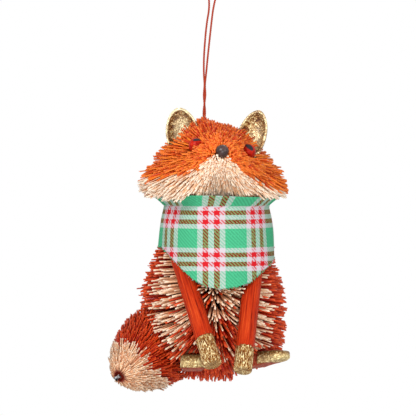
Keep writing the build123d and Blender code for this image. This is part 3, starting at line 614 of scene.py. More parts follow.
# %% [markdown]
# A brush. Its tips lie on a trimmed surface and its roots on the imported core, where straws are too close to
# tell apart. Tips are spread evenly by area, drawn a little towards their neighbours as tufts, and each straw
# that would run into a piece is cut short of it, as a maker's scissors would.

# %% Brush maker
golden = (np.sqrt(5) - 1) / 2
free_edge, tuft_reach, trim_margin, shortest_straw = 0.7, 2.6, 0.97, 2.2
root_depth, tip_scatter, root_scatter = 0.86, 0.35, 0.05


def brush(axes, length, profile, reach, core_radius, count, seed, jitter=0.02, turns=20, layered=0.0, tuft=0.2,
          parting=None, forward=None):
    """Roots and tips of the straws of one brush. Rows of the profile: root share, tip share, size share, crowd."""
    dice = np.random.default_rng(seed)
    rows = np.array(profile)

    def columns(where, *which):
        """Columns of the profile at places between its rows."""
        return (np.interp(where, np.arange(len(rows)), rows[:, k]) for k in which)

    fine = np.linspace(0, len(rows) - 1, 400)
    tip_share, size_share, crowd = columns(fine, 1, 2, 3)
    mean_reach = reach(np.linspace(-np.pi, np.pi, 360)).mean()
    run = np.hypot(np.diff(tip_share * length), np.diff(size_share * mean_reach))
    area = running(run * crowd[1:] * (size_share[1:] + size_share[:-1]))
    number = np.arange(count)
    where = np.interp((number + dice.uniform(0, 1, count)) / count * area[-1], area, fine)
    circle = np.linspace(-np.pi, np.pi, 721)
    weight = running(reach(circle)[1:] + reach(circle)[:-1])
    angle = np.interp((number * golden % 1 + dice.normal(0, 0.002, count)) % 1 * weight[-1], weight, circle)
    step = (len(rows) - 1) / turns
    twist = angle / (2 * np.pi)
    row_place = (np.round(where / step - twist) + twist) * step
    where = np.clip(where + layered * (row_place - where), 0, len(rows) - 1)
    root_at, tip_at, size_at = columns(where, 0, 1, 2)
    if forward is not None:
        root_at, tip_at = forward(angle, root_at, tip_at, size_at)
    long = 1 - np.abs(dice.normal(0, 2 * jitter, count))
    long = long + (dice.uniform(0, 1, count) < 0.05) * dice.uniform(0, 0.06, count)
    tips = axes.points(size_at * reach(angle) * long, angle, tip_at * length + dice.normal(0, tip_scatter, count))
    root_angle = (angle if parting is None else parting(angle)) + dice.normal(0, root_scatter, count)
    roots = axes.points(core_radius(root_angle, root_at) * root_depth, root_angle, root_at * length)
    centres = tips[dice.choice(count, count // 7, replace=False)]
    near = ((tips ** 2).sum(1)[:, None] + (centres ** 2).sum(1) - 2 * tips @ centres.T).argmin(1)
    pull = dice.uniform(0, 2 * tuft, count)[:, None]
    apart = np.linalg.norm(centres[near] - tips, axis=1)[:, None] + 1e-6
    tips = tips + (centres[near] - tips) * pull * np.clip(tuft_reach / apart, 0, 1)
    low, high = np.array(cad_box) / mm
    tips = np.clip(tips, low + free_edge, high - free_edge)
    steps = np.linspace(0.1, 1.0, 20)
    hits = blocked(roots[:, None] + (tips - roots)[:, None] * steps[None, :, None])
    first = np.where(hits.any(1), hits.argmax(1), len(steps))
    kept = np.where(first < len(steps), steps[np.clip(first - 1, 0, None)] * trim_margin, 1.0)
    good = (first > 2) & (kept * np.linalg.norm(tips - roots, axis=1) > shortest_straw)
    cut_tips = roots + (tips - roots) * kept[:, None]
    return roots[good], cut_tips[good], angle[good], tip_at[good], kept[good]

# %% [markdown]
# A straw is a flat strip of fibre, cut at a slant. Three square rings of points are enough for one, because
# there are thousands. Each also gets a small field of its own on a flat map, for its colours to be baked on.

# %% Straws
def field(x, y, width, height):
    """Four corners of a field on the flat map."""
    return [(x, y), (x + width, y), (x + width, y + height), (x, y + height)]


straw_faces = np.vstack([grid_faces(3, 4), [[8, 9, 10, 11], [3, 2, 1, 0]]])
straw_fields = np.array([field(k / 4, ring * 0.42, 0.25, 0.42) for ring in range(2) for k in range(4)]
                        + [field(0, 0.88, 0.12, 0.12), field(0.2, 0.88, 0.12, 0.12)])


def straws(name, roots, tips, width, material, replaced, seed, kept=1.0, tone=0.0):
    """Mesh of many straws, each of three square rings with a slanted cut at its tip."""
    dice = np.random.default_rng(seed)
    count = len(roots)
    along = unit(tips - roots)
    span = np.linalg.norm(tips - roots, axis=1)
    side = unit(np.cross(along, unit(dice.normal(size=(count, 3)))))
    other = np.cross(along, side)
    half = width / 2 * dice.uniform(0.72, 1.22, count)
    bend = side * dice.normal(0, 0.012, count)[:, None] + other * dice.normal(0, 0.012, count)[:, None]
    bend = bend * span[:, None]
    flat = dice.uniform(0.55, 1.0, count)
    corner = np.pi / 4 + np.pi / 2 * np.arange(4)
    square = np.sqrt(2) * around(corner, side[:, None], other[:, None]) * half[:, None, None]
    square = square - (1 - flat)[:, None, None] * (square * other[:, None]).sum(-1, keepdims=True) * other[:, None]
    shares, tapers = np.array([0.0, 0.55, 1.0]), np.array([1.0, 1.0, 0.88])
    centres = (roots[:, None] + (tips - roots)[:, None] * shares[:, None]
               + bend[:, None] * (4 * shares * (1 - shares))[:, None])
    rings = centres[:, :, None] + square[:, None] * tapers[:, None, None]
    slant = dice.normal(0, 0.5, (count, 2))
    lean = (square * (slant[:, :1, None] * side[:, None] + slant[:, 1:, None] * other[:, None])).sum(-1)
    rings[:, 2] += lean[..., None] * along[:, None]
    faces = (np.arange(count)[:, None, None] * 12 + straw_faces).reshape(-1, 4)
    made = piece(name, rings, material, replaced, faces)
    made.data.polygons.foreach_set("use_smooth", np.tile([True] * 8 + [False] * 2, count))
    across = int(np.ceil(np.sqrt(count)))
    corner_at = np.stack([np.arange(count) % across, np.arange(count) // across], -1)
    chart(made, "OFBake", (corner_at[:, None, None] + 0.06 + 0.88 * straw_fields) / across)
    note(made, "along", np.repeat(shares * np.broadcast_to(kept, count)[:, None], 4))
    note(made, "tint", np.repeat(np.clip(dice.beta(0.9, 1.1, count) + tone, 0, 1), 12))
    note(made, "ridge_relief_and_shade", np.tile([0.0, 1.0], 6 * count))
    return made


def coat(part, roots, tips, kept, cream, widths, fibres, seed, tone=0.0):
    """Straws of one brush as two pieces, the orange bundle and the cream one, each with its width and fibre material.
    """
    tone = np.broadcast_to(tone, len(roots))
    for k, (dye, chosen) in enumerate((("orange", ~cream), ("cream", cream))):
        straws(f"{part}_{dye}", roots[chosen], tips[chosen], widths[k], fibres[k],
               [f"{part}_bristles_{dye}"], seed + k, kept[chosen], tone[chosen])

# %% [markdown]
# The imported core of each brush shows only between the straws, and it is painted dark red-brown as
# the painted shade there.

# %% Core material and maker
# Painted shade: the core's dark red-brown stands for the shade deep between the straws.
r = Recipe("fibre_core_painted_shade", roughness=0.9, specular=0.05)
tangle = r.noise(r.place(), 1400)
r.bump(tangle, 0.0004)
shaded_core_material = r.colour(r.ramp(tangle, [(0.3, (38, 6, 3)), (0.55, (92, 22, 8)), (0.75, (140, 45, 16))]))


def packed(reach, share_of_reach, table):
    """Radius of a core as a share of the brush's reach, which changes along the wire as the table says."""
    places, sizes = np.transpose(table)
    return lambda angle, share: share_of_reach * reach(angle) * np.interp(share, places, sizes)


def trimmed_round(radius):
    """Reach of a brush that is trimmed round."""
    return lambda angle: np.full(np.shape(angle), radius)


def core(name, axes, length, radius_at, low, high):
    """Packed fibre round the wire, slightly uneven, closed at both ends."""
    turn = np.linspace(-np.pi, np.pi, 72, endpoint=False)
    share_grid, turn_grid = np.meshgrid(np.linspace(low, high, 60), turn, indexing="ij")
    radius = radius_at(turn_grid, share_grid) * 0.93
    points = axes.points(radius, turn_grid, share_grid * length)
    outward = unit(points - axes.points(0 * radius, turn_grid, share_grid * length) + 1e-6)
    points += 0.35 * wobble(points, 5.0, 3)[..., None] * outward
    ends = axes.points(np.zeros((2, 72)), np.tile(turn, (2, 1)), np.array([[low] * 72, [high] * 72]) * length)
    piece(name, np.concatenate([ends[:1], points, ends[1:]]), shaded_core_material)

# %% [markdown]
# The head. Its wire runs from the back of the head to the nose, and its outline is a fox's mask: long
# cheeks to both sides, a short crown and a short chin. Close to the nose the straws are trimmed very short
# and are seen from their tips. Cream straws make the muzzle, the chin and the lower cheeks.

# %% Head brush
head_outline_table = [(-180, 0.68), (-175, 0.72), (-168, 0.84), (-160, 0.94), (-152, 0.95), (-140, 0.87),
                      (-128, 0.8), (-116, 0.69), (-104, 0.58), (-90, 0.55), (-76, 0.57), (-53, 0.74), (-41, 0.87),
                      (-33, 0.94), (-23, 1.0), (-13, 0.91), (-6, 0.86), (3, 0.7), (15, 0.65), (30, 0.57),
                      (45, 0.52), (58, 0.46), (80, 0.44), (95, 0.47), (105, 0.51), (119, 0.5), (136, 0.5),
                      (150, 0.52), (161, 0.58), (180, 0.7)]
head_core_table = [(0.0, 0.3), (0.12, 0.75), (0.28, 1.0), (0.48, 1.0), (0.68, 0.95), (0.84, 0.5), (0.936, 0.26),
                   (0.96, 0.1)]
head_profile = [(0.0, -0.095, 0.01, 1), (0.0, -0.09, 0.1, 1), (0.03, -0.07, 0.38, 1), (0.06, -0.04, 0.55, 1),
                (0.18, 0.1, 0.85, 1), (0.34, 0.3, 1.0, 1.2), (0.5, 0.46, 0.99, 1.1), (0.62, 0.6, 0.86, 0.5),
                (0.73, 0.72, 0.68, 0.45), (0.82, 0.83, 0.54, 0.9), (0.89, 0.92, 0.38, 1.4),
                (0.93, 0.98, 0.24, 1.8), (0.95, 1.01, 0.1, 2)]
cream_edge = [(-31, 11.5), (-23.6, 11.6), (-20.6, 12.8), (-10.2, 14.8), (-4.4, 17.4), (-3.0, 20.4), (5.4, 24.5),
              (8.3, 23.2), (14.7, 17.2), (17.5, 14.2), (23.3, 10.6), (32, 6.7), (38, 5.0)]


def in_degrees(angle):
    """Angle in degrees, from minus 180 to 180."""
    return (np.degrees(angle) + 180) % 360 - 180


def head_reach(angle):
    """Reach of the trimmed head from its wire."""
    return head_radius * np.interp(in_degrees(angle), *np.transpose(head_outline_table))


def chin_forward(angle, root_share, tip_share, size_share):
    """The chin is combed down from the nose and trimmed flat, where the rest of the face is a cone."""
    chin = np.interp(in_degrees(angle), [-170, -145, -125, -55, -40, -18], [0, 0.8, 1, 1, 0.8, 0])
    flat = 1.02 - 0.17 * np.sin(angle) ** 6 * size_share ** 1.5
    onward = np.clip((tip_share - 0.12) / 0.42, 0, 1)
    combed = chin * onward ** 2 * (3 - 2 * onward)
    root = root_share + np.clip(0.93 - root_share, 0, None) * 0.85 * combed
    return root, tip_share + (flat - tip_share) * combed


head_core = packed(head_reach, 0.47, head_core_table)
roots, tips, _, share, kept = brush(head_axes, head_length, head_profile, head_reach, head_core, 4900, 11,
                                        jitter=0.04, tuft=0.1, forward=chin_forward)
dice = np.random.default_rng(5)
across, rise = seen_at(tips)
edge = np.interp(across, *np.transpose(cream_edge))
dye_blur, face_starts, crown_height, crown_fade = 0.7, 0.4, 29, 8
cream = (rise + dice.normal(0, dye_blur, len(tips)) < edge) & (share > face_starts + dice.normal(0, 0.03, len(tips)))
crown_tone = 0.12 - 0.55 * np.clip((rise - crown_height) / crown_fade, 0, 1)
coat("head", roots, tips, kept, cream, (0.7, 0.72), (orange_fibre, cream_fibre), 21, np.where(cream, 0, crown_tone))
core("head_core", head_axes, head_length, head_core, 0.01, 0.955)

# %% [markdown]
# The body. Its wire stands upright, and the straws are trimmed to a pear. Straws near the bottom lean
# down in a ragged fringe. The chest is cream between the forelegs and out to both sides.

# %% Body brush
body_core_table = [(0.08, 0.1), (0.112, 0.28), (0.207, 0.40), (0.296, 0.53), (0.52, 0.53), (0.665, 0.42),
                   (0.83, 0.36), (0.9, 0.2)]
body_profile = [(0.89, 0.99, 0.28, 1), (0.87, 0.95, 0.42, 1), (0.855, 0.9, 0.52, 1), (0.8, 0.825, 0.62, 1),
                (0.743, 0.743, 0.69, 1), (0.665, 0.66, 0.77, 1), (0.61, 0.6, 0.83, 1), (0.56, 0.55, 0.9, 1),
                (0.5, 0.48, 0.96, 1), (0.45, 0.43, 1.0, 1), (0.37, 0.34, 1.02, 1), (0.285, 0.24, 1.02, 1),
                (0.23, 0.156, 0.98, 1), (0.2, 0.084, 0.86, 1), (0.172, 0.034, 0.63, 1), (0.14, 0.0, 0.35, 1),
                (0.12, -0.012, 0.06, 1)]
belly_table = [(-0.012, 0), (0.034, 0.03), (0.084, 0.05), (0.156, 0.06), (0.24, 0.06), (0.34, 0.04), (0.45, 0)]


def chest_parting(angle):
    """Angle of the root for an angle of the tip: the chest is combed from the middle to both sides."""
    front = (angle + np.pi / 2 + np.pi) % (2 * np.pi) - np.pi
    return angle - np.radians(26) * np.sin(np.clip(front * 1.8, -np.pi, np.pi))


def belly_lean(angle, root_share, tip_share, size_share):
    """Straws of the belly hang from higher roots than those at the sides, so they sweep down to the front."""
    to_front = np.clip((np.cos(angle + np.pi / 2) - 0.55) / 0.35, 0, 1)
    return root_share + np.interp(tip_share, *np.transpose(belly_table)) * to_front, tip_share


def chances():
    """One even number from 0 to 1 for each straw."""
    return dice.uniform(0, 1, len(tips))


body_reach = trimmed_round(body_radius)
body_core = packed(body_reach, 0.93, body_core_table)
roots, tips, angle, _, kept = brush(body_axes, body_height, body_profile, body_reach, body_core, 4300, 12,
                                        jitter=0.03, turns=22, layered=0.25, tuft=0.08, parting=chest_parting,
                                        forward=belly_lean)
fringe_floor, fringe_slope, fringe_top, ragged_share = -177.3, 0.06, -174, 0.6
right_floor = fringe_floor + fringe_slope * (tips[:, 1] + 10)
low = (tips[:, 0] > 9) & (tips[:, 1] < 10) & (tips[:, 2] < right_floor)
tips[:, 2] = np.where(low, right_floor + dice.uniform(0, 2.5, len(tips)), tips[:, 2])
ragged = (tips[:, 2] < fringe_top) & (chances() < ragged_share)
tips = np.where(ragged[:, None], tips - (tips - roots) * dice.uniform(0.05, 0.28, len(tips))[:, None], tips)
spare = ~(low & (chances() < ragged_share))
roots, tips, angle, kept = roots[spare], tips[spare], angle[spare], kept[spare]
front = (np.degrees(angle) + 90 + 180) % 360 - 180 + dice.normal(0, 3.5, len(tips))
chest_left, chest_right, chest_middle_bottom, chest_side_drop = -64, 58, -160.5, 8.5
chest_bottom = chest_middle_bottom - chest_side_drop * np.clip((np.abs(front) - 18) / 18, 0, 1)
height = tips[:, 2]
on_chest = (front > chest_left) & (front < chest_right)
cream = on_chest & (height + dice.normal(0, 1.2, len(tips)) > chest_bottom)
cream &= chances() > np.interp(height, [-168, -132], [0.3, 0.06])
cream |= (np.abs(front) < 40) & (chances() < 0.2) & (height < -159) & (height > -176)
# The body takes the darker fibre copies, as painted shade.
coat("body", roots, tips, kept, cream, (0.72, 0.72), (shaded_orange_fibre, shaded_cream_fibre), 23)
core("body_core", body_axes, body_height, body_core, 0.09, 0.895)

# %% [markdown]
# The tail. A third brush on its own wire leans out and down beside the fox, with a cream tip. At the tip
# the last straws sweep back over the dome, and the cut end of the twisted wire shows between them.

# %% Tail brush
tail_core_table = [(0.1, 0.2), (0.17, 0.3), (0.3, 0.45), (0.61, 0.5), (0.82, 0.33), (0.965, 0.14)]
tail_profile = [(0.18, -0.12, 0.3, 1), (0.2, -0.06, 0.55, 1), (0.26, 0.04, 0.78, 1), (0.38, 0.16, 0.92, 1),
                (0.52, 0.28, 0.99, 1), (0.68, 0.4, 0.95, 1), (0.8, 0.5, 0.9, 1), (0.88, 0.6, 0.83, 1),
                (0.93, 0.72, 0.7, 1), (0.955, 0.82, 0.55, 1), (0.965, 0.9, 0.39, 1), (0.975, 0.97, 0.22, 1),
                (0.98, 1.0, 0.1, 1)]
cream_patch, patch_growth = 17.2, 8.5
tail_reach = trimmed_round(tail_radius)
tail_core = packed(tail_reach, 0.9, tail_core_table)
roots, tips, _, _, kept = brush(tail_axes, tail_length, tail_profile, tail_reach, tail_core, 2100, 13,
                                        tuft=0.15)
body_heights = body_bottom + body_height * np.array([0, 0.08, 0.2, 0.5])
body_there = body_radius * 0.8 * np.interp(tips[:, 2], body_heights, [0.35, 0.84, 1.0, 1.0])
outside_body = np.hypot(tips[:, 0], tips[:, 1]) >= body_there
roots, tips, kept = roots[outside_body], tips[outside_body], kept[outside_body]
across, rise = seen_at(tips)
wire_across, wire_rise = seen_at(tail_tip)
bearing = np.arctan2(rise - wire_rise, across - wire_across)
patch = cream_patch + patch_growth * np.clip(-bearing / 0.5 + 0.6, 0, 1)
cream = np.hypot(across - wire_across, rise - wire_rise) + dice.normal(0, 0.9, len(tips)) < patch
# The tail takes the darker fibre copies, as painted shade.
coat("tail", roots, tips, kept, cream, (0.55, 0.62), (shaded_orange_fibre, shaded_cream_fibre), 25)
core("tail_core", tail_axes, tail_length, tail_core, 0.12, 0.97)

# %% [markdown]
# Gold leaf goes over wood and pods with a brush. It lies in small creases that catch the light, and the
# red-brown ground shows where it is thin. On sticks and feet it ends in a ragged edge.

# %% Gold and painted wood
def gilding(r, where):
    """Colour and relief of leaf over a red-brown ground, with creases at the scale of the given vector."""
    crumple = r.noise(where, 1.0, 3.0, 0.6)
    flecks = r.noise(where, 2.7, 2.0, 0.6)
    leaf = r.ramp(r.plus(r.times(crumple, 0.55), r.times(flecks, 0.45)),
                  [(0.41, (92, 28, 9)), (0.46, (134, 80, 34)), (0.52, (182, 134, 72)), (0.575, (255, 240, 188))])
    return leaf, r.plus(crumple, r.times(flecks, 0.6))


def half_gilt(r, grain, creases, cloud, raggedness, half_edge, depth):
    """Share of leaf on wood, from the number gilt kept on the mesh and a cloud that makes its edge ragged."""
    edge = r.plus(r.number("gilt"), r.times(r.minus(cloud, 0.5), raggedness))
    gilt = r.fade(edge, 0.5 - half_edge, 0.5 + half_edge)
    r.link(r.times(gilt, 0.6), r.shader.inputs["Metallic"])
    r.bump(r.plus(grain, r.times(gilt, creases)), depth)
    return gilt


r = Recipe("gold_leaf", roughness=0.36, metallic=0.5, specular=0.5)
leaf, creases = gilding(r, r.stretched(r.place(), 520, 520, 520))
r.bump(creases, 0.0007)
# A kept number mixes in pale gold where the ears carry a painted highlight.
gold_material = r.colour(r.mix(r.times(r.number("painted_sheen"), 0.8), leaf, colour(255, 240, 196)))

# %% [markdown]
# Ears. Each is half of a woody seed pod with its hollow to the front, gilt all over. The shell is thin at
# its rim and thicker at its tip.

# %% Ears
def pod(height, half_width, length):
    """Half width of a pod at a height: leaner than an oval towards its tip and fuller towards its foot."""
    share = np.clip(np.abs(height) / (length / 2), 0, 1)
    power = np.where(height > 0, 1.8, 2.8)
    return half_width * (1 - share ** power) ** (1 / power)


shell_side, shell_ends = 0.8, 2.4
for side, painted_sheen in (("left", 1.6), ("right", 0.6)):
    middle, across, up, facing = ear_axes(side)
    wide = ear_widths[side]
    height = -np.cos(np.linspace(0, np.pi, 90))[:, None] * ear_length / 2
    turn = np.linspace(0, np.pi, 32)
    outer, inner = pod(height, wide, ear_length), pod(height, wide - shell_side, ear_length - shell_ends)
    local = np.concatenate([np.stack([radius * np.cos(turns), height + 0 * turns, -radius * np.sin(turns) * shrink], -1)
                            for radius, turns, shrink in ((outer, turn, 1.0), (inner, turn[::-1], 0.96))], axis=1)
    local[..., 2] += 0.28 * wobble(local, 4.2, 31) * (np.abs(local[..., 2]) > 0.4)
    ear = piece(side + "_pod_ear", middle + local @ np.stack([across, up, facing]), gold_material,
                [side + "_ear"])
    sideways, lengthways, depth = ((points_of(ear.data) / mm - middle) @ np.stack([across, up, facing], 1)).T
    # Painted highlight: a pale sheen in the middle of the hollow and along the rim, stronger on the left ear than on
    # the right.
    off_middle = (sideways - 0.8) / (0.42 * wide)
    hollow = np.hypot(off_middle, (lengthways - 0.5) / (0.3 * ear_length)) < 1.5
    sheen_spot = np.exp(-off_middle ** 2 - ((lengthways - 0.5) / (0.26 * ear_length)) ** 2)
    rim = np.exp(-(depth / 0.5) ** 2) * np.interp(lengthways, [-4, 6], [0.08, 0.5])
    note(ear, "painted_sheen", np.clip((sheen_spot * hollow + rim) * painted_sheen, 0, 1) * (depth > -0.94 * wide))

# %% [markdown]
# Beads. Nose and eyes are turned wooden beads. The nose is painted dark brown with a soft shine, and the
# eyes are red with a dark pupil dabbed on.

# %% Beads
r = Recipe("nose_paint", roughness=0.3, specular=0.5)
worn = r.noise(r.place(), 520, 4.0)
r.bump(worn, 0.00012)
nose_material = r.colour(r.ramp(worn, [(0.3, (38, 16, 14)), (0.55, (52, 28, 26)), (0.75, (80, 52, 48))]))

r = Recipe("eye_paint", roughness=0.3, specular=0.1)
brushed = r.noise(r.place(), 700)
red = r.ramp(brushed, [(0.3, (140, 16, 6)), (0.6, (190, 34, 14)), (0.8, (216, 66, 30))])
r.bump(brushed, 0.0001)
eye_material = r.colour(r.mix(r.fade(r.number("pupil"), 0.47, 0.53), red, colour(46, 44, 48)))


def ball(place, radii):
    """Round bead with its own size along each axis."""
    polar, turn = np.meshgrid(np.linspace(0, np.pi, 25), np.linspace(0, 2 * np.pi, 48, endpoint=False),
                              indexing="ij")
    return place + np.stack([np.sin(polar) * np.cos(turn), np.sin(polar) * np.sin(turn), np.cos(polar)], -1) * radii


nose_shape = ball(nose_place, np.array([nose_half_width, nose_radius, nose_radius]))
piece("nose_bead", nose_shape, nose_material, ["nose"])
pupils = {"left": ((0.1, -0.75, 0.66), 10.0, 1.75, 0.85), "right": ((0.15, -0.85, 0.5), -48.0, 2.15, 1.15)}
for side, place in eye_places.items():
    way, tilt, long, short = pupils[side]
    way, tilt = unit(np.array(way)), np.radians(tilt)
    bead = piece(side + "_eye_bead", ball(place, eye_radius), eye_material, [side + "_eye"])
    at = points_of(bead.data) / mm - place
    across = unit(np.cross([0, 0, 1.0], way))
    a, b = at @ across, at @ np.cross(way, across)
    a, b = a * np.cos(tilt) + b * np.sin(tilt), b * np.cos(tilt) - a * np.sin(tilt)
    inside = 1 - np.sqrt((a / long) ** 2 + (b / short) ** 2)
    note(bead, "pupil", np.where(at @ way > 0, 0.5 + inside * short / 2, 0))

# %% [markdown]
# Forelegs are straight sticks, stained orange with the grain still showing, and dipped in gold at the foot.

# %% Forelegs
r = Recipe("painted_stick", roughness=0.5, specular=0.08)
grain = r.noise(r.stretched(r.chart("stick"), 1.5, 0.05, 1), 1.0, 4.0, 0.62)
stain = r.ramp(grain, [(0.34, (80, 12, 4)), (0.42, (160, 34, 8)), (0.55, (190, 52, 14)), (0.7, (214, 80, 30))])
leaf, creases = gilding(r, r.stretched(r.chart("stick"), 1.5, 0.42, 1))
gilt = half_gilt(r, grain, creases, r.noise(r.chart("stick"), 0.9), 0.09, 0.005, 0.0007)
stick_material = r.colour(r.mix(gilt, stain, leaf))


def stick(side_name, gilt_from):
    """Round stick with uneven sides and a softened end, gilt from a share of its length down."""
    top, end = leg_ends[side_name]
    share = np.concatenate([[0, 0], np.linspace(0, 0.985, 60), [0.993, 1.0, 1.0, 1.0]])
    width = np.concatenate([[0, 0.9], np.ones(60), [0.97, 0.86, 0.45, 0]])[:, None, None]
    heading = unit(end - top)
    side = unit(np.cross(heading, [0.0, 1.0, 0.0]))
    other = np.cross(heading, side)
    ring = around(np.linspace(0, 2 * np.pi, 40, endpoint=False), side, other)
    points = straight(top, end, share)[:, None] + ring * (leg_radius * width)
    uneven = 0.14 * wobble(points * np.array([1, 1, 0.25]), 6.0, 41) - 0.14
    points = points + ring * uneven[..., None] * (width > 0.5)
    made = piece(side_name + "_stick_leg", points, stick_material, [side_name + "_foreleg"])
    at = points_of(made.data) / mm - top
    down = at @ heading
    note(made, "gilt", 0.5 + (down / np.linalg.norm(end - top) - gilt_from))
    index = read(made.data.loops, "vertex_index")
    bearing = np.arctan2(at @ other, at @ side)[index]
    first = np.repeat(bearing[read(made.data.polygons, "loop_start")], read(made.data.polygons, "loop_total"))
    bearing = first + (bearing - first + np.pi) % (2 * np.pi) - np.pi
    chart(made, "stick", np.stack([bearing * leg_radius, down[index]], -1))


stick("left", 0.765)
stick("right", 0.8)

# %% [markdown]
# Hind feet are whittled from flat wood: narrow at the heel, round at the toe, with the upper edges taken off.
# Gold covers the toes, with a painted highlight low along the front and painted shade on top, and bare
# red-brown wood shows behind and below.

# %% Hind feet
r = Recipe("whittled_foot", roughness=0.5, specular=0.1)
grain = r.noise(r.stretched(r.place(), 1, 0.3, 1), 900, 4.0, 0.6)
wood = r.ramp(grain, [(0.3, (104, 34, 18)), (0.5, (152, 62, 40)), (0.72, (184, 92, 66))])
leaf, creases = gilding(r, r.stretched(r.place(), 900, 900, 900))
gilt = half_gilt(r, grain, creases, r.noise(r.place(), 260), 0.3, 0.01, 0.0006)
# The kept number shine brightens a band low on the front as a painted highlight, and the number top darkens the top as
# painted shade.
with_painted_highlight = r.mix(r.times(r.number("painted_highlight"), 0.55), leaf, colour(255, 238, 176))
with_painted_top_shade = r.mix(r.times(r.number("top"), 0.8), with_painted_highlight, colour(98, 70, 34))
foot_material = r.colour(r.mix(gilt, wood, with_painted_top_shade))


section_power, sole_power = 0.34, 0.6


def squared(values, power):
    """Values from minus one to one with their sizes raised to a power, which squares a circle up."""
    return np.sign(values) * np.abs(values) ** power


def whittled_foot(side, gilt_from, toe_drop):
    """Foot as rounded cross sections from heel to toe. The toe drop is the share of height lost below the toe."""
    heel, forward, across, up = foot_axes(side)
    reach = foot_length * np.concatenate([[0, 0], 1 - np.cos(np.linspace(0.05, np.pi / 2, 50))])
    toe_radius = foot_width / 2
    straight_part = foot_length - toe_radius
    half = np.interp(reach, [0, straight_part], [heel_width / 2, toe_radius])
    rounded = np.sqrt(np.clip(toe_radius ** 2 - (reach - straight_part) ** 2, 0, None))
    half = np.where(reach > straight_part, rounded, half)
    half[0] = 0
    turn = np.linspace(0, 2 * np.pi, 48, endpoint=False)
    wide, tall = squared(np.cos(turn), section_power), squared(np.sin(turn), section_power)
    tall = np.where(tall > 0, tall, squared(tall, sole_power))
    crown = np.where(reach > straight_part, np.sqrt(np.clip(half / toe_radius, 0, 1)), 1.0)
    crown[0] = 0
    low_toe = 1 - toe_drop * np.clip((reach - 0.5 * foot_length) / (0.5 * foot_length), 0, 1)
    middle = foot_height * (0.6 - 0.1 * low_toe)
    rise = middle[:, None] + foot_height / 2 * (crown * low_toe)[:, None] * tall
    points = (heel + reach[:, None, None] * forward + (half[:, None] * wide)[..., None] * across
              + rise[..., None] * up)
    points = points + 0.12 * wobble(points, 5.0, 51)[..., None] * up
    made = piece(side + "_foot_carving", points, foot_material, [side + "_hind_foot"])
    at = points_of(made.data) / mm - heel
    level = at @ up / foot_height
    # Painted highlight in a band low on the front, and painted shade over the top.
    note(made, "painted_highlight", np.exp(-((level - 0.38) / 0.18) ** 2))
    note(made, "top", np.clip((level - 0.58) / 0.2, 0, 1))
    on_top = np.clip((at @ up - 1.0) / 1.5, -1, 1)
    note(made, "gilt", 0.5 + np.minimum((at @ forward / foot_length - gilt_from) * 3, on_top))


whittled_foot("left", 0.2, 0.12)
whittled_foot("right", 0.6, 0.45)

# %% [markdown]
# The scarf is a strip of tartan round the neck, turned out above a crease like a collar, with a rounded bib
# in front. The cloth is woven two over and two under from green, white and red yarn, so that where two
# colours cross they make a diagonal of both. The map on the mesh is in millimetres of cloth.

# %% Tartan
r = Recipe("tartan", roughness=0.85, specular=0.15)
split = r.add("SeparateXYZ", {0: r.chart("cloth")})
thread, warp_counts, weft_counts = 0.4, (6, 6, 6, 6, 6, 24), (5, 5, 5, 5, 5, 21)
yarn_u, yarn_v = (r.maths("SNAP", split.outputs[k], thread) for k in (0, 1))
green, pale, scarlet = colour(72, 180, 132), colour(202, 191, 200), colour(200, 26, 36)


def yarns(position, counts, first, shades):
    """Colour of one set of yarns, whose bands have these widths in yarns: white, red, white, red, white, green."""
    repeat = sum(counts) * thread
    place = r.maths("FLOORED_MODULO", r.minus(position, (first - 0.5) * thread), repeat)
    edges = running(counts)[:-1] / sum(counts)
    white, red, leafy = shades
    stops = list(zip(edges, (white, red, white, red, white, leafy)))
    return r.ramp(r.maths("DIVIDE", place, repeat), stops, sharp=True)


def both_ways(*shades):
    """Warp and weft with these shades for their white, red and green yarns."""
    return yarns(yarn_u, warp_counts, -21, shades), yarns(yarn_v, weft_counts, -1, shades)


def off_yarn(position):
    """How far a place lies from the edge of its yarn's middle."""
    return r.maths("ABSOLUTE", r.minus(r.maths("FRACT", r.maths("DIVIDE", position, thread)), 0.5))


warp, weft = both_ways(pale, scarlet, green)
red_warp, red_weft = both_ways(dark, clear, dark)
green_warp, green_weft = both_ways(dark, dark, clear)
crossed = r.maths("MAXIMUM", r.times(red_warp, green_weft), r.times(green_warp, red_weft))
diagonal = r.maths("FLOORED_MODULO", r.minus(yarn_u, yarn_v), 4 * thread)
over = r.maths("LESS_THAN", diagonal, 2 * thread - 0.01)
off_yarns = r.plus(off_yarn(split.outputs[0]), off_yarn(split.outputs[1]))
r.bump(r.plus(r.times(over, 0.5), r.times(off_yarns, -0.5)), 0.00009)
slub = r.noise(r.chart("cloth"), 1.4)
swing = r.plus(r.times(r.maths("MAXIMUM", red_warp, red_weft), 0.3), 0.42)
plain = r.mix(r.plus(r.times(r.minus(over, 0.5), swing), 0.5), weft, warp)
red_on_top = r.plus(r.times(over, red_warp), r.times(r.minus(1.0, over), red_weft))
red_on_green = r.mix(r.maths("GREATER_THAN", red_on_top, 0.5), colour(120, 140, 82), colour(106, 10, 4))
woven = r.mix(r.times(crossed, 0.85), plain, red_on_green)
shaded = r.mix(r.times(over, r.times(r.times(green_warp, green_weft), 0.25)), woven, dark)
tartan = r.colour(r.mix(0.16, shaded, r.ramp(slub, [(0.3, (0.62, 0.62, 0.62, 1)), (0.7, clear)]), "MULTIPLY"))

# %% [markdown]
# The cloth is worked out as one closed sheet with two sides. It could be draped by a cloth simulation, but
# the maker glues it in place, so its few soft waves are written down instead.

# %% Scarf
cloth_thickness, collar_height, rows_round, rows_down = 0.5, 3.9, 360, 90


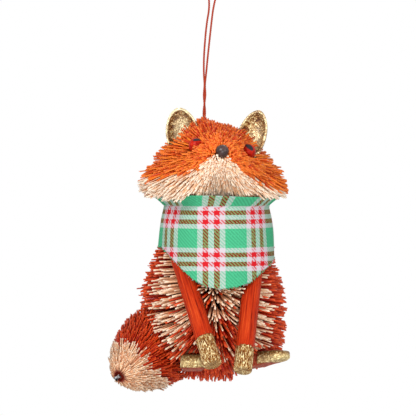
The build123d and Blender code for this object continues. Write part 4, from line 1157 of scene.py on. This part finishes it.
def scarf_surface(turn, drop):
    """Outside of the cloth at an angle from the front and a share from the rim (0) to the hem (1)."""
    hem = hem_all_round(scarf_axis[0] + hem_radius * np.sin(turn), scarf_axis[1] - hem_radius * np.cos(turn))
    rim = crease_height(turn) + collar_height + 0.3 * np.cos(3 * turn + 1.0)
    z = rim + (hem - rim) * drop
    above = z - crease_height(turn)
    radius = scarf_radius(z, turn) + 0.25 * np.exp(-(above / 1.3) ** 2)
    radius = radius + 0.4 * np.sin(9 * turn + 0.4) * np.clip(above / 4, 0, 1)
    radius = radius + 0.4 * np.sin(5 * turn + 0.12 * z) * np.clip((-above - 4) / 20, 0, 1)
    pinch = np.exp(-((turn + 0.86) / 0.16) ** 2)
    radius = radius - 1.2 * pinch * np.exp(-((above + 4.5 + 8 * (turn + 0.86)) / 2.2) ** 2)
    return np.stack([scarf_axis[0] + radius * np.sin(turn), scarf_axis[1] - radius * np.cos(turn), z], -1), radius


turn_grid, drop_grid = np.meshgrid(np.linspace(-np.pi, np.pi, rows_round + 1)[:-1], np.linspace(0, 1, rows_down),
                                   indexing="ij")
outside, cloth_radius = scarf_surface(turn_grid, drop_grid)
to_axis = np.stack([scarf_axis[0] - outside[..., 0], scarf_axis[1] - outside[..., 1], 0 * drop_grid], -1)
sheet_points = np.concatenate([outside, (outside + unit(to_axis) * cloth_thickness)[:, ::-1]], axis=1)
faces = grid_faces(rows_round + 1, 2 * rows_down) % (rows_round * 2 * rows_down)
scarf = piece("tartan_scarf", sheet_points, tartan, ["scarf"], faces)

# %% [markdown]
# The map of the cloth holds seven whole repeats of the tartan round the back, so that the bands meet there.
# In front it follows the true length of the cloth, and above the crease it keeps the straight thread.

# %% Map of the cloth
above = outside[..., 2] - crease_height(turn_grid)
repeats_round = 7
round_back = repeats_round * sum(warp_counts) * thread / (2 * np.pi)
held_turn = np.sign(turn_grid) * np.minimum(np.abs(turn_grid), 1.2 * (np.pi - np.abs(turn_grid)) / (np.pi - 1.2))
round_u = round_back * turn_grid + (np.where(above > 0, crease_radius, cloth_radius) - round_back) * held_turn
round_u = round_u - np.where(above > 0, 2.0 + 0.33 * above, 0)
round_u = round_u - 2.2 * np.exp(-((turn_grid + 0.95) / 0.3) ** 2 - (above / 4.5) ** 2)
down = -above * np.hypot(1, np.where(above > 0, collar_slope, 0.15))
flat_map = np.stack([np.concatenate([part, part[:, ::-1]], 1) for part in (round_u, down)], -1).reshape(-1, 2)
uv = flat_map[read(scarf.data.loops, "vertex_index")].reshape(-1, 4, 2)
over_seam = uv[..., 0].max(1) - uv[..., 0].min(1) > 60
uv[..., 0] = np.where(over_seam[:, None] & (uv[..., 0] < 0), uv[..., 0] + 2 * np.pi * round_back, uv[..., 0])
chart(scarf, "cloth", uv)
turn_outwards(scarf.data, weld=False)

# %% [markdown]
# The hem is raw. Short ends of yarn stick out of it all round.

# %% Frayed ends
ends = 420
dice = np.random.default_rng(61)
hem_points, _ = scarf_surface(dice.uniform(-np.pi, np.pi, ends), np.full(ends, 0.995))
fray_tips = hem_points + np.stack([dice.normal(0, 0.22, ends), dice.normal(0, 0.15, ends) - 0.1,
                                   -dice.uniform(0.25, 0.95, ends)], -1)
r = Recipe("loose_yarn", roughness=0.85, specular=0.1)
yarn_shades = r.ramp(r.number("tint"), [(0.0, green), (0.62, pale), (0.85, colour(232, 120, 120))], sharp=True)
fuzz = r.ramp(r.noise(r.place(), 3000), [(0.3, (0.5, 0.5, 0.5, 1)), (0.7, clear)])
fray_material = r.colour(r.mix(0.3, yarn_shades, fuzz, "MULTIPLY"))
fray = straws("scarf_fray", hem_points, fray_tips, 0.16, fray_material, [], 62)

# %% [markdown]
# Wire. Each brush is held by two soft steel wires twisted together. Only the end at the tip of the tail
# shows, so that one is made as a twisted pair, and the hidden ones keep their solids. Away from its bare
# end the wire is painted dark red-brown, as painted shade where it runs among the straws.

# %% Wire
r = Recipe("steel_wire", roughness=0.38, metallic=0.9)
scuffed = r.noise(r.place(), 1800)
r.bump(scuffed, 0.00006)
bare = r.ramp(scuffed, [(0.3, (110, 110, 112)), (0.7, (176, 176, 178))])
# Away from the bare end the steel is mixed to dark red-brown as painted shade among the straws.
wire_material = r.colour(r.mix(r.number("painted_shade_inside"), bare, colour(58, 12, 5)))
wire_juts, wire_offset, wire_radius, wire_turn_length, bare_length, shade_fade = 1.5, 0.5, 0.56, 6.0, 6, 3
wire_end = tail_tip + unit(tail_tip - tail_base) * wire_juts
wire_line = straight(tail_base, wire_end, np.linspace(0.02, 1, 160))
wire_start = unit(np.array([tail_base[0], tail_base[1], 0.0])) * 1.6 + np.array([0, 0, -157.0])
inner_line = straight(wire_start, wire_line[0], np.linspace(0, 0.98, 60))
wire_points, wire_faces, _ = plies(np.vstack([inner_line, wire_line]), 2, wire_offset, wire_radius,
                                   wire_turn_length, 12)
wire = piece("tail_wire_twist", wire_points, wire_material, ["tail_wire"], wire_faces)
# Painted shade grows from the bare end inward.
from_tip = np.linalg.norm(points_of(wire.data) / mm - tail_tip, axis=1)
note(wire, "painted_shade_inside", np.clip((from_tip - bare_length) / shade_fade, 0, 1))
solids_kept = {"body_wire": wire_material, "head_wire": wire_material, "left_foreleg_pin": wire_material,
               "right_foreleg_pin": wire_material, "twine_tie": twine_material}
for node, material in solids_kept.items():
    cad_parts[node].data.materials.clear()
    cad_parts[node].data.materials.append(material)

# %% [markdown]
# The floor is pale paper, a little cloudy, so that it sends soft white light up at the fox.

# %% Floor
r = Recipe("floor_paper", roughness=0.9, specular=0.1)
cloudy = r.ramp(r.noise(r.place(), 4.0), [(0.3, (0.84, 0.84, 0.83, 1)), (0.7, (0.87, 0.87, 0.86, 1))])
floor.data.materials.append(r.colour(cloudy))
